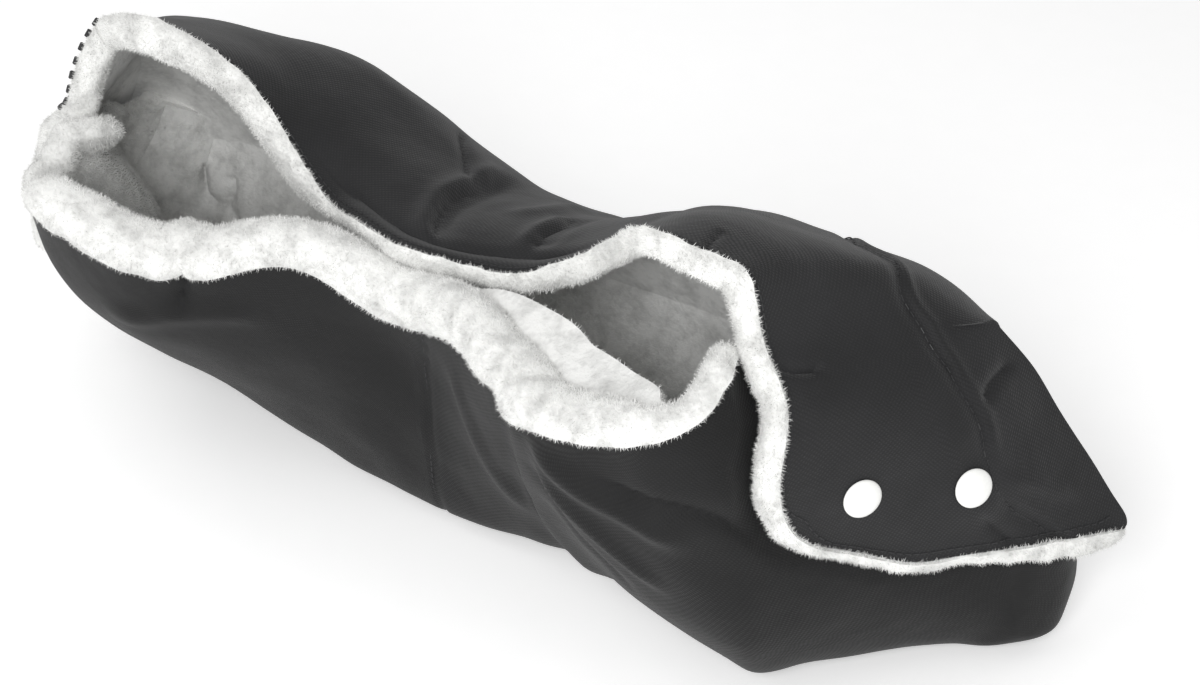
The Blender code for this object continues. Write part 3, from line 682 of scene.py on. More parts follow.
@dataclass(frozen=True)
class Fold:
    """A fold, crease or sewn groove of a cloth, along a path of net places."""

    path: tuple[Place, ...]
    depth: float
    width: float
    form: FoldForm = FoldForm.VALLEY
    open_ends: bool = False

    # Points of the line for each span of the path
    SPAN_STEPS = 12
    # How far the fold reaches, in its widths
    REACH = 3.5
    # Share of its length over which an end fades out
    FADE = 0.25
    # A valley's soft and sharp parts, and how much narrower the sharp one is, squared
    SOFT, SHARP, NARROWER = 0.6, 0.4, 9

    def line(self, skin_at: Callable[[Place], np.ndarray]) -> np.ndarray:
        """The path as points on the cloth, close together."""
        places = np.array(self.path, float)
        spans = len(places) - 1
        dense = along(places, np.linspace(0, spans, self.SPAN_STEPS * spans + 1), False)
        return np.array([skin_at((float(place[0]), float(place[1]))) for place in dense])

    def heights(self, points: np.ndarray, outward: np.ndarray, line: np.ndarray) -> np.ndarray:
        """How far the fold moves each point outwards.

        Args:
            points: Points by column and row.
            outward: Their outward directions.
            line: The fold's points on the cloth.

        Returns:
            One height for each point.
        """
        every = points.reshape(-1, 3)
        margin = self.REACH * self.width
        close = ((every > line.min(axis=0) - margin) & (every < line.max(axis=0) + margin)).all(axis=1)
        flat = every[close]
        best = np.full(len(flat), np.inf)
        side = np.zeros(len(flat))
        share = np.zeros(len(flat))
        steps = np.linalg.norm(np.diff(line, axis=0), axis=1)
        passed = np.concatenate([[0], np.cumsum(steps)]) / max(steps.sum(), TINY)
        facing_out = outward.reshape(-1, 3)[close]
        for index in range(len(line) - 1):
            way = line[index + 1] - line[index]
            part = np.clip((flat - line[index]) @ way / max(way @ way, TINY), 0, 1)
            apart = flat - line[index] - part[:, None] * way
            distance = np.linalg.norm(apart, axis=1)
            nearer = distance < best
            best[nearer] = distance[nearer]
            across = (np.cross(way, apart) * facing_out).sum(axis=1)
            side[nearer] = np.sign(across[nearer])
            share[nearer] = (passed[index] + part * (passed[index + 1] - passed[index]))[nearer]
        ratio = best / self.width
        fade = 1.0 if self.open_ends else eased(np.minimum(share, 1 - share) / self.FADE)
        if self.form is FoldForm.STEP:
            form = side * ratio * np.exp(0.5 - 0.5 * ratio * ratio)
        elif self.form is FoldForm.RIDGE:
            form = np.exp(-ratio * ratio)
        else:
            form = -self.SOFT * np.exp(-ratio * ratio) - self.SHARP * np.exp(-self.NARROWER * ratio * ratio)
        found = np.zeros(len(every))
        found[close] = form * fade * self.depth * eased(self.REACH - ratio)
        return found.reshape(points.shape[:-1])


@dataclass(frozen=True)
class Lobe:
    """A soft bulge of the plush lining, round a net place."""

    place: Place
    reach: Place
    push: float
    lift: float = 0.0

    # How much each point is pushed its own way, and how much the way of the whole bulge
    OWN, COMMON = 0.3, 0.7

    def moves(self, skin: Skin) -> np.ndarray:
        """How the bulge moves each point of the lining."""
        across = skin.columns[:, None] - self.place[0]
        if skin.closed:
            across = (across + RAYS / 2) % RAYS - RAYS / 2
        down = skin.rows[None, :] - self.place[1]
        ratio = np.clip((across / self.reach[0]) ** 2 + (down / self.reach[1]) ** 2, 0, 1)
        share = ((1 - ratio) ** 2)[..., None]
        mean = unit((skin.outward * share).sum(axis=(0, 1)))
        way = unit(skin.outward * self.OWN + mean * self.COMMON)
        return share * (UP * self.lift - way * self.push)


class Layer(NamedTuple):
    """A layer of the panel: its depths below the outer face, and its pieces' name, slot and fill."""

    top: float
    bottom: float
    piece: str
    slot: str
    fill: Optional[float] = None


LAYERS = {
    "shell": Layer(0.0, 0.0010, "cloth", "shell_cloth"),
    "wadding": Layer(0.0013, 0.0035, "padding", "wadding", 0.4),
    "lining": Layer(0.0038, 0.0074, "plush", "plush", 0.5),
}
PANEL_DEPTH = LAYERS["lining"].bottom


class RollSizes(NamedTuple):
    """Sizes of a plush roll along its edge."""

    # How far the roll stands out from the edge
    heights: Profile
    # How thick it is across the panel
    widths: Profile
    # How far its inner side runs back along the lining
    tails: Profile
    # How far its outer side runs back over the shell
    overlaps: Profile


@dataclass
class Binding:
    """A soft plush roll over a cut edge of the panel.

    The path holds column and row numbers of the skin, and the places are where along its profiles the sizes
    are read. The start and the end are drawn in where round_ends says so.
    """

    name: str
    skin: Skin
    path: Sequence[tuple[int, int]]
    places: np.ndarray
    sizes: RollSizes
    round_ends: tuple[bool, bool] = (True, True)

    # Outline of the roll: out from the edge and down from the outer face, in shares of its height and width
    SECTION = (
        (0.34, -0.08), (0.68, 0.02), (0.92, 0.20), (1.00, 0.42), (0.94, 0.66), (0.72, 0.87),
        (0.38, 0.98), (0.00, 1.00), (-0.40, 0.96), (-0.78, 0.86), (-1.00, 0.72),
    )
    # Where the roll lies on the shell: share of its overlap, and height over the cloth
    OVER_SHELL = ((1.0, 0.0002), (0.6, 0.0016))
    # Least gaps to the lining under the tail's outline and under its middle, and to the cut edge
    TAIL_GAP, MIDDLE_GAP, EDGE_GAP = 0.0004, 0.0002, 0.0003
    # Lumps of the plush: size, shift and height of each kind
    LUMPS = ((0.008, 3.0, 0.0008), (0.0035, 9.0, 0.0004))
    # How many sections a round end takes, and what share of its size it starts with
    END_SECTIONS, END_SHARE = 5, 0.25

    def out_ways(self, edge: np.ndarray, outward: np.ndarray, columns: np.ndarray,
                 rows: np.ndarray) -> np.ndarray:
        """Directions out of the panel, square to its edge.

        Args:
            edge: Points of the edge.
            outward: Outward directions of the skin there.
            columns: Column numbers of the edge's points.
            rows: Row numbers of the edge's points.

        Returns:
            One direction for each point.
        """
        way = unit(softened(np.gradient(edge, axis=0)[:, None], False, 3)[:, 0])
        out = unit(np.cross(way, outward))
        last_column, last_row = (count - 1 for count in self.skin.points.shape[:2])
        inner_rows = np.where(rows == last_row, last_row - 2, np.where(rows == 0, 2, rows))
        inner_columns = columns
        if not self.skin.closed:
            inner_columns = np.where(columns == last_column, last_column - 2, columns)
            inner_columns = np.where(columns == 0, 2, inner_columns)
        inside = self.skin.points[inner_columns, inner_rows]
        flip = np.sign(((edge - inside) * out).sum(axis=1))
        flip = np.sign(np.median(flip)) if self.skin.closed else np.where(flip == 0, 1, flip)
        out = out * np.reshape(flip, (-1, 1))
        return unit(softened(out[:, None], False, 2)[:, 0])

    def sections(self) -> np.ndarray:
        """Cross-sections of the roll along its path, as points by place and by corner of a closed loop."""
        columns, rows = np.array(self.path).T
        edge = self.skin.points[columns, rows]
        outward = self.skin.outward[columns, rows]
        out = self.out_ways(edge, outward, columns, rows)
        heights, widths, tails, overlaps = (np.interp(self.places, *profile) for profile in self.sizes)
        tree = self.skin.tree()
        rings = []
        for index in range(len(edge)):
            ring = []
            for share, proud in self.OVER_SHELL:
                back = edge[index] - out[index] * share * overlaps[index]
                place, direction = self.follow(tree, back, outward[index])
                ring.append(place + direction * proud)
            for share_out, share_down in self.SECTION:
                depth = share_down * widths[index]
                reach = share_out * heights[index]
                if reach < 0:
                    back = edge[index] + out[index] * share_out * tails[index]
                    place, direction = self.follow(tree, back, outward[index])
                    ring.append(place - direction * max(depth, PANEL_DEPTH + self.TAIL_GAP))
                else:
                    ring.append(edge[index] + out[index] * reach - outward[index] * depth)
            back, direction = self.follow(tree, edge[index] - out[index] * tails[index] / 2, outward[index])
            ring.append(back - direction * (PANEL_DEPTH + self.MIDDLE_GAP))
            for depth in (PANEL_DEPTH, PANEL_DEPTH / 2):
                ring.append(edge[index] + out[index] * self.EDGE_GAP - outward[index] * depth)
            rings.append(ring)
        grid = self.tapered(np.array(rings))
        lift = sum(rumple(grid, size, shift) * height for size, shift, height in self.LUMPS)
        normal = np.swapaxes(facing(np.swapaxes(grid, 0, 1), True), 0, 1)
        centre = grid.mean(axis=1, keepdims=True)
        away = np.sign(((grid - centre) * normal).sum(axis=-1, keepdims=True))
        lift[:, -3:] = 0
        lift[:, 0] = 0
        return grid + normal * away * lift[..., None]

    def follow(self, tree: BVHTree, point: np.ndarray, outward: np.ndarray) -> tuple[np.ndarray, np.ndarray]:
        """The nearest place on the skin and the outward direction there."""
        found, normal, _, _ = tree.find_nearest(Vector(point))
        direction = np.array(normal)
        if direction @ outward < 0:
            direction = -direction
        return np.array(found), unit(direction * 0.5 + outward * 0.5)

    def tapered(self, grid: np.ndarray) -> np.ndarray:
        """The sections with the round ends drawn in."""
        count = len(grid)
        ends = min(self.END_SECTIONS, count // 3)
        share = np.ones(count)
        for index in range(ends):
            narrow = self.END_SHARE + (1 - self.END_SHARE) * math.sin(math.pi / 2 * index / ends)
            for place, is_round in zip((index, -1 - index), self.round_ends):
                if is_round:
                    share[place] = min(share[place], narrow)
        base = grid[:, -1:, :]
        return base + (grid - base) * share[:, None, None]

    def build(self, material: bpy.types.Material) -> bpy.types.Object:
        """Make the roll."""
        grid = self.sections()
        count, corners = grid.shape[:2]
        numbering = np.arange(count * corners).reshape(count, corners).T.ravel()
        faces = numbering[quads((corners, count), True)].tolist()
        edges = {pair for face in faces for pair in zip(face, face[1:] + face[:1])}
        start = (count - 1) * corners
        # Each end is closed by a cap that is wound the same way as the sides
        for cap in (list(range(corners)), list(range(start + corners - 1, start - 1, -1))):
            faces.append(cap[::-1] if (cap[0], cap[1]) in edges else cap)
        return mesh_object(self.name, grid.reshape(-1, 3), faces, material, crisp=70)


class GeometryTree:
    """A Geometry Nodes tree with named inputs, that is run once and turned into a plain mesh."""

    def __init__(self, name: str, inputs: dict[str, float]) -> None:
        """Start a tree.

        Args:
            name: The tree's name.
            inputs: Value for each named input; a whole number makes a whole-number input.
        """
        self.tree = bpy.data.node_groups.new(name, "GeometryNodeTree")
        face = self.tree.interface
        face.new_socket("Geometry", in_out="INPUT", socket_type="NodeSocketGeometry")
        self.values = {}
        for label, value in inputs.items():
            kind = "NodeSocketInt" if isinstance(value, int) else "NodeSocketFloat"
            socket = face.new_socket(label, in_out="INPUT", socket_type=kind)
            self.values[socket.identifier] = value
        face.new_socket("Geometry", in_out="OUTPUT", socket_type="NodeSocketGeometry")
        self.source = self.tree.nodes.new("NodeGroupInput")
        self.target = self.tree.nodes.new("NodeGroupOutput")

    def finish(self, geometry: bpy.types.NodeSocket, material: bpy.types.Material) -> None:
        """End the tree in Realize Instances and Set Material."""
        real = add_node(self.tree, "GeometryNodeRealizeInstances", {}, {"Geometry": geometry})
        dressed = add_node(self.tree, "GeometryNodeSetMaterial", {"Material": material},
                           {"Geometry": real.outputs["Geometry"]})
        self.tree.links.new(dressed.outputs["Geometry"], self.target.inputs["Geometry"])

    def run(self, name: str, base: bpy.types.Object) -> bpy.types.Object:
        """Run the tree on a base object and keep the result as a plain mesh piece.

        Args:
            name: The new piece's name.
            base: The object that the tree starts from; it is removed.

        Returns:
            The new piece.
        """
        modifier = base.modifiers.new("tree", "NODES")
        modifier.node_group = self.tree
        for identifier, value in self.values.items():
            modifier[identifier] = value
        depsgraph = bpy.context.evaluated_depsgraph_get()
        depsgraph.update()
        mesh = bpy.data.meshes.new_from_object(base.evaluated_get(depsgraph))
        base.modifiers.remove(modifier)
        bpy.data.objects.remove(base, do_unlink=True)
        mesh.name = name
        return placed(name, mesh)


@dataclass(frozen=True)
class Pile:
    """Short fibres that stand on a plush piece and make its outline furry."""

    density: float = 1.8e6
    length: float = 0.0017
    radius: float = 0.00013
    seed: int = 7
    lean: float = 0.9

    # Smallest and largest size of a fibre, as shares of its length and radius
    SIZES = (0.5, 1.25)

    def grow(self, name: str, base: bpy.types.Object, material: bpy.types.Material) -> bpy.types.Object:
        """Grow the fibres on a piece.

        Args:
            name: The new piece's name.
            base: The plush piece; it stays as it is.
            material: The finish.

        Returns:
            The fibres as one mesh.
        """
        trunk = GeometryTree(name, {"Density": self.density, "Length": self.length, "Radius": self.radius,
                                    "Lean": self.lean, "Seed": self.seed})
        tree, given = trunk.tree, trunk.source.outputs
        spread = add_node(tree, "GeometryNodeDistributePointsOnFaces", {},
                          {"Mesh": given["Geometry"], "Density": given["Density"], "Seed": given["Seed"]})
        fibre = add_node(tree, "GeometryNodeMeshCone", {"fill_type": "NONE", "Vertices": 3},
                         {"Radius Bottom": given["Radius"], "Depth": given["Length"]})
        cube = {"data_type": "FLOAT_VECTOR", 0: (-1, -1, -1), 1: (1, 1, 1)}
        stray = add_node(tree, "FunctionNodeRandomValue", cube, {"Seed": given["Seed"]})
        bent = add_node(tree, "ShaderNodeVectorMath", {"operation": "SCALE"},
                        {0: stray.outputs[0], "Scale": given["Lean"]})
        aim = add_node(tree, "ShaderNodeVectorMath", {"operation": "ADD"},
                       {0: spread.outputs["Normal"], 1: bent.outputs[0]})
        turn = add_node(tree, "FunctionNodeAlignRotationToVector", {"axis": "Z"}, {"Vector": aim.outputs[0]})
        size = add_node(tree, "FunctionNodeRandomValue",
                        {"data_type": "FLOAT", 2: self.SIZES[0], 3: self.SIZES[1]}, {"Seed": given["Seed"]})
        stand = add_node(tree, "GeometryNodeInstanceOnPoints", {},
                         {"Points": spread.outputs["Points"], "Instance": fibre.outputs["Mesh"],
                          "Rotation": turn.outputs["Rotation"], "Scale": size.outputs[1]})
        trunk.finish(stand.outputs["Instances"], material)
        return trunk.run(name, placed(f"{name}_base", base.data.copy()))


@dataclass(frozen=True)
class Stitching:
    """A row of sewn stitches along a line on the cloth."""

    pitch: float = 0.0034
    length: float = 0.0024
    radius: float = 0.00032

    def sew(self, name: str, lines: Sequence[np.ndarray], material: bpy.types.Material) -> bpy.types.Object:
        """Sew stitches along lines of points.

        Args:
            name: The new piece's name.
            lines: Each line's points.
            material: The thread.

        Returns:
            All the stitches as one mesh.
        """
        points, edges = [], []
        for line in lines:
            start = len(points)
            points += line.tolist()
            edges += [(start + index, start + index + 1) for index in range(len(line) - 1)]
        mesh = bpy.data.meshes.new(f"{name}_line")
        mesh.from_pydata(points, edges, [])
        trunk = GeometryTree(name, {"Pitch": self.pitch, "Length": self.length, "Radius": self.radius})
        tree, given = trunk.tree, trunk.source.outputs
        curve = add_node(tree, "GeometryNodeMeshToCurve", {}, {"Mesh": given["Geometry"]})
        even = add_node(tree, "GeometryNodeResampleCurve", {"mode": "LENGTH"},
                        {"Curve": curve.outputs["Curve"], "Length": given["Pitch"]})
        way = add_node(tree, "GeometryNodeInputTangent")
        turn = add_node(tree, "FunctionNodeAlignRotationToVector", {"axis": "Z"}, {"Vector": way.outputs[0]})
        thread = add_node(tree, "GeometryNodeMeshCylinder", {"fill_type": "NGON", "Vertices": 6},
                          {"Radius": given["Radius"], "Depth": given["Length"]})
        stand = add_node(tree, "GeometryNodeInstanceOnPoints", {},
                         {"Points": even.outputs["Curve"], "Instance": thread.outputs["Mesh"],
                          "Rotation": turn.outputs["Rotation"]})
        trunk.finish(stand.outputs["Instances"], material)
        return trunk.run(name, placed(f"{name}_line", mesh))


class Crossing(NamedTuple):
    """Where cloth starts and ends its turn from one body to another."""

    first: str
    second: str
    start: Spot
    end: Spot


Ride = Union[str, Crossing]


class Wardrobe:
    """The finishes, and what is common to dressing a piece."""

    def __init__(self) -> None:
        """Make every finish once."""
        self.shell = WovenShell().material()
        # The pouch's cloth is the same charcoal polyester in darker colours; the extra darkness is painted
        # shade, for the lower panel lying out of the light from above
        self.shade = WovenShell(name="charcoal_polyester_painted_shade", dark="#080809", light="#141415",
                                sheen=0.05).material()
        self.plush = PlushPile().material()
        self.wadding = FibreWadding().material()
        self.plastic = SnapPlastic().material()
        self.tape = HookTape().material()
        self.thread = SewingThread().material()

    @staticmethod
    def put_on(piece: bpy.types.Object, ride: Ride, slot: str, *nodes: str,
               fill: Optional[float] = None) -> bpy.types.Object:
        """Attach a piece to a body, or bake it in place where it crosses from one body to another, and hide
        its CAD nodes.

        Args:
            piece: The piece.
            ride: The CAD body that it moves with, or its crossing from one body to another.
            slot: Not used.
            nodes: The CAD nodes that it stands for.
            fill: Not used.

        Returns:
            The piece.
        """
        if isinstance(ride, Crossing):
            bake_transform(piece)
        else:
            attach(piece, ride)
        if nodes:
            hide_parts(*nodes)
        LOG.info("%s: %d faces on %s", piece.name, len(piece.data.polygons), ride)
        return piece


# Paths of the seams and pleats that two folds share
FLAP_SEAM = ((7.9, 2.9), (8.4, 2.35), (9.5, 1.95), (10.1, 2.15), (10.8, 2.38), (11.4, 2.40), (11.8, 2.32),
             (12.1, 2.30), (12.4, 2.36), (12.7, 2.5), (13.0, 2.6))
FIRST_PLEAT = ((5.20, 0.30), (4.91, 0.70), (4.80, 0.95), (4.73, 1.25), (4.72, 1.60), (4.66, 2.10), (4.6, 2.6))
SECOND_PLEAT = ((6.02, 0.50), (5.95, 0.75), (5.91, 1.00), (5.90, 1.30), (5.84, 1.75))
FRONT_SEAM = ((1.95, 4.0), (1.88, 3.60), (1.76, 2.87), (1.62, 2.07), (1.66, 1.60), (1.78, 1.20), (1.85, 0.6))


@dataclass
class Mantle:
    """The upper cloth: the cover and the two flaps that hang from it, as one curved sheet."""

    ribs: tuple[Rib, ...] = (
        ((0, -34, 148), (0, 4, 146), (0, 42, 139), (0, 77, 122), (0, 94, 85)),
        ((43, -23, 143), (44, 11, 150), (45, 46, 141), (45, 79, 121), (45, 95, 85)),
        ((90, -18, 172), (93, 17, 171), (95, 51, 158), (97, 81, 132), (98, 96, 85)),
        ((136, -54, 209), (140, -8, 198), (144, 35, 176), (148, 77, 144), (150, 97, 85)),
        ((166, -40, 197), (176, -5, 188), (189, 31, 175), (196, 71, 147), (200, 97, 85)),
    )
    flap_ribs: tuple[Rib, ...] = (
        ((190.5, -49, 148), (195, -59, 122), (197, -57, 97)),
        ((201, -38, 146), (208, -38, 116), (213, -33, 85)),
        ((212, -18, 143), (226, -12, 110), (234, -5, 72)),
        ((226, 12, 142), (246, 16, 106), (258, 21, 72)),
        ((240, 58, 132), (260, 64, 101), (285, 72, 64)),
    )
    hinge: tuple[Spot, Spot] = ((175, -41, 168), (226, 49, 153))
    corner: Spot = (216, 92, 85)
    # How much fuller the left hood is, and the shares of that by rib and by row
    left_puff: float = 0.016
    puff_ribs: tuple[float, ...] = (0.0, 0.8, 1.0, 0.4, 0.0)
    puff_rows: tuple[float, ...] = (0.2, 0.6, 1.0, 0.8, 0.0)
    # The mouth's edge on the left, from the middle of the hood to its end, which is turned up, and the rib
    # that it starts at
    left_edge_rib: int = 2
    left_edge: Rib = ((-92, -14, 184), (-128, -36, 218), (-164, -32, 204))
    # How far the left rear corner hangs out and down at its middle
    left_droop: Spot = (-0.029, 0.006, -0.027)
    column_steps: int = 22
    row_steps: int = 28
    drop_steps: int = 80
    # Passes that even out the cover, the flap with its strip, and their outward directions
    cover_passes: int = 14
    flap_passes: int = 22
    outward_passes: int = 6
    # The right mouth's edge is evened into an arc: the passes, the column where that starts and the one where
    # it ends, each with the length of its fading, and the row that it reaches to
    arc_passes: int = 70
    arc_start: Place = (5.6, 0.8)
    arc_end: Place = (9.0, 0.6)
    arc_rows: float = 0.9
    # Evening of the flap: the column where it sets in and the length of that, the rows over which it grows
    # from the rear edge, and its least share
    flap_start: Place = (9.3, 0.9)
    flap_rows: float = 1.1
    flap_least: float = 0.001
    # Columns and rows over which the strip's outward directions pass from the cover's to the flap's own
    outward_blend: Place = (0.8, 0.5)
    corner_radius: float = 0.020
    tip_radius: float = 0.011
    # Half of the length over which cloth turns at a hinge
    hinge_half: float = 0.009
    folds: tuple[Fold, ...] = (
        # The seam that runs over the right flap to its hem
        Fold(FLAP_SEAM, 0.0010, 0.0024, FoldForm.STEP, True),
        Fold(((8.5, 0.02), (8.35, 0.3), (8.25, 0.6)), 0.0018, 0.0018),
        Fold(FLAP_SEAM, 0.0009, 0.0016, FoldForm.VALLEY, True),
        # Creases of the right flap
        Fold(((12.35, 2.05), (12.55, 2.10), (12.79, 2.20), (12.95, 2.3)), 0.0020, 0.0022),
        Fold(((10.80, 2.90), (10.93, 2.80), (11.14, 2.60), (11.4, 2.45)), 0.0024, 0.0030),
        Fold(((10.25, 0.10), (10.36, 0.40), (10.38, 0.62), (10.31, 0.85)), 0.0026, 0.0026),
        Fold(((11.9, 2.2), (12.3, 2.6), (12.6, 2.8)), 0.0016, 0.0035, FoldForm.RIDGE),
        # The pleat and the tucks over the middle of the cover
        Fold(FIRST_PLEAT, 0.0030, 0.0042, FoldForm.STEP),
        Fold(FIRST_PLEAT[:-1], 0.0026, 0.0022),
        Fold(SECOND_PLEAT, 0.0026, 0.0022),
        Fold(SECOND_PLEAT, 0.0018, 0.0040, FoldForm.STEP),
        Fold(((3.9, 2.7), (4.09, 2.40), (4.41, 2.00), (4.68, 1.60)), 0.0026, 0.0035),
        Fold(((5.3, 1.3), (5.5, 1.9), (5.5, 2.6)), 0.0022, 0.0060, FoldForm.RIDGE),
        # The rolled hem along the mouth, and the groove behind it
        Fold(((3.4, 0.10), (4.2, 0.12), (4.86, 0.14), (5.5, 0.16), (6.2, 0.20), (6.9, 0.20)), 0.0018, 0.0045,
             FoldForm.RIDGE),
        Fold(((3.4, 0.26), (4.2, 0.32), (4.86, 0.36), (5.5, 0.40), (6.2, 0.46), (6.9, 0.42)), 0.0022, 0.0028),
    )

    def hinge_ends(self) -> tuple[np.ndarray, np.ndarray]:
        """The front end and the rear end of the right hinge."""
        return net_points(self.hinge[0]), net_points(self.hinge[1])

    def cover_net(self) -> np.ndarray:
        """The cover's ribs from the left hinge to the right one, each from mouth to fold."""
        right = net_points(self.ribs)
        front, rear = self.hinge_ends()
        edge = [front + (rear - front) * row / HINGE_ROWS for row in range(HINGE_ROWS + 1)]
        edge.append(net_points(self.corner))
        left = right * MIRROR
        left[..., 2] += self.left_puff * np.outer(self.puff_ribs, self.puff_rows)
        left[self.left_edge_rib:, 0] = net_points(self.left_edge)
        net = np.concatenate([[np.array(edge) * MIRROR], left[:0:-1], right, [np.array(edge)]])
        net[:, -1, 2] = FOLD_HEIGHT
        return net

    def drooped(self, grid: np.ndarray, columns: np.ndarray, rows: np.ndarray) -> np.ndarray:
        """The cover with its left rear corner hanging out and down over the open end."""
        beside = eased(1.0 - columns)[:, None]
        under = np.clip(rows - HINGE_ROWS, 0, 1)
        between = np.where(rows > HINGE_ROWS, np.sin(np.pi * under), 0)[None, :]
        return grid + (beside * between)[..., None] * np.array(self.left_droop)

    def cover_skin(self) -> Skin:
        """The cover's outer face, hinge to hinge."""
        columns = np.linspace(0, HINGE, HINGE * self.column_steps + 1)
        rows = np.linspace(0, ROWS, ROWS * self.row_steps + 1)
        grid = softened(net_grid(self.cover_net(), columns, rows, False), False, self.cover_passes)
        grid = self.drooped(grid, columns, rows)
        arc = grid
        for _ in range(self.arc_passes):
            arc = (np.roll(arc, 1, axis=0) + 2 * arc + np.roll(arc, -1, axis=0)) / 4
        (start, start_fade), (end, end_fade) = self.arc_start, self.arc_end
        near = eased((columns - start) / start_fade) * eased((end - columns) / end_fade)
        deep = eased((self.arc_rows - rows) / self.arc_rows)
        grid = grid + (arc - grid) * (near[:, None] * deep[None, :])[..., None]
        outward = facing(grid, False)
        # The cover's outer face looks up in the middle
        if outward[len(grid) // 2, 4, 2] < 0:
            outward = -outward
        return Skin(grid, unit(softened(outward, False, self.outward_passes)), columns, rows)

    def flap_skin(self, cover: Skin) -> Skin:
        """The right flap's outer face with the strip of cover above it, from rib to hem, front to rear.

        Args:
            cover: The cover's skin, whose last columns the strip repeats.

        Returns:
            A skin whose columns run outwards from the start of the strip, and its rows from front to rear.
        """
        front, rear = self.hinge_ends()
        last = len(self.flap_ribs) - 1
        net = [[front + (rear - front) * index / last, *net_points(rib)]
               for index, rib in enumerate(self.flap_ribs)]
        kept = cover.rows <= HINGE_ROWS + TINY
        rows = cover.rows[kept]
        first = STRIP_START * self.column_steps
        strip = cover.points[first:, kept]
        drops = np.linspace(0, DROPS, self.drop_steps + 1)
        flap = np.swapaxes(net_grid(np.array(net), rows * last / HINGE_ROWS, drops, False), 0, 1)
        flap[0] = strip[-1]
        grid = np.concatenate([strip, flap[1:]])
        columns = np.concatenate([cover.columns[first:], HINGE + drops[1:]])
        soft = softened(grid, False, self.flap_passes)
        start, fade = self.flap_start
        share = eased((columns - start) / fade)[:, None, None] * np.ones((1, len(rows), 1))
        grown = eased((HINGE_ROWS - rows) / self.flap_rows)[None, :, None]
        share *= grown * (1 - self.flap_least) + self.flap_least
        grid = grid + (soft - grid) * share
        grid = self.rounded(grid, self.corner_radius)
        grid = self.rounded(grid[:, ::-1], self.tip_radius)[:, ::-1]
        outward = unit(softened(facing(grid, False), False, self.outward_passes))
        # The right flap's outer face looks to the right
        if outward[-5, len(rows) // 2, 0] < 0:
            outward = -outward
        copied = cover.outward[first:, kept]
        beyond = eased((columns[:len(strip)] - STRIP_START) / self.outward_blend[0])[:, None, None]
        blend = beyond * eased((HINGE_ROWS - rows) / self.outward_blend[1])[None, :, None]
        outward[:len(strip)] = unit(copied * (1 - blend) + outward[:len(strip)] * blend)
        return Skin(grid, outward, columns, rows)

    @staticmethod
    def rounded(grid: np.ndarray, radius: float) -> np.ndarray:
        """The flap with one lower corner cut round.

        Args:
            grid: Points from rib to hem, and from the corner's side to the other.
            radius: The corner's radius.

        Returns:
            The same points, with those near the corner drawn in.
        """
        upward = unit(np.gradient(grid, axis=0)) * -1
        rearward = unit(np.gradient(grid, axis=1))
        climb = gone(grid[::-1], 0)[::-1]
        reach = gone(grid, 1)
        apart = np.abs(climb - reach)
        turn = np.clip((1 - apart / radius) / 2, 0, 0.5)
        main = (1 - turn) ** 2 * radius - apart
        side = turn ** 2 * radius
        near = np.minimum(climb, reach)
        share = np.where(apart < radius, np.clip(1 - near / (2 * radius), 0, 1), 0)
        front_side = climb >= reach
        up_move = np.where(front_side, main, side) * share
        rear_move = np.where(front_side, side, main) * share
        return grid + upward * up_move[..., None] + rearward * rear_move[..., None]


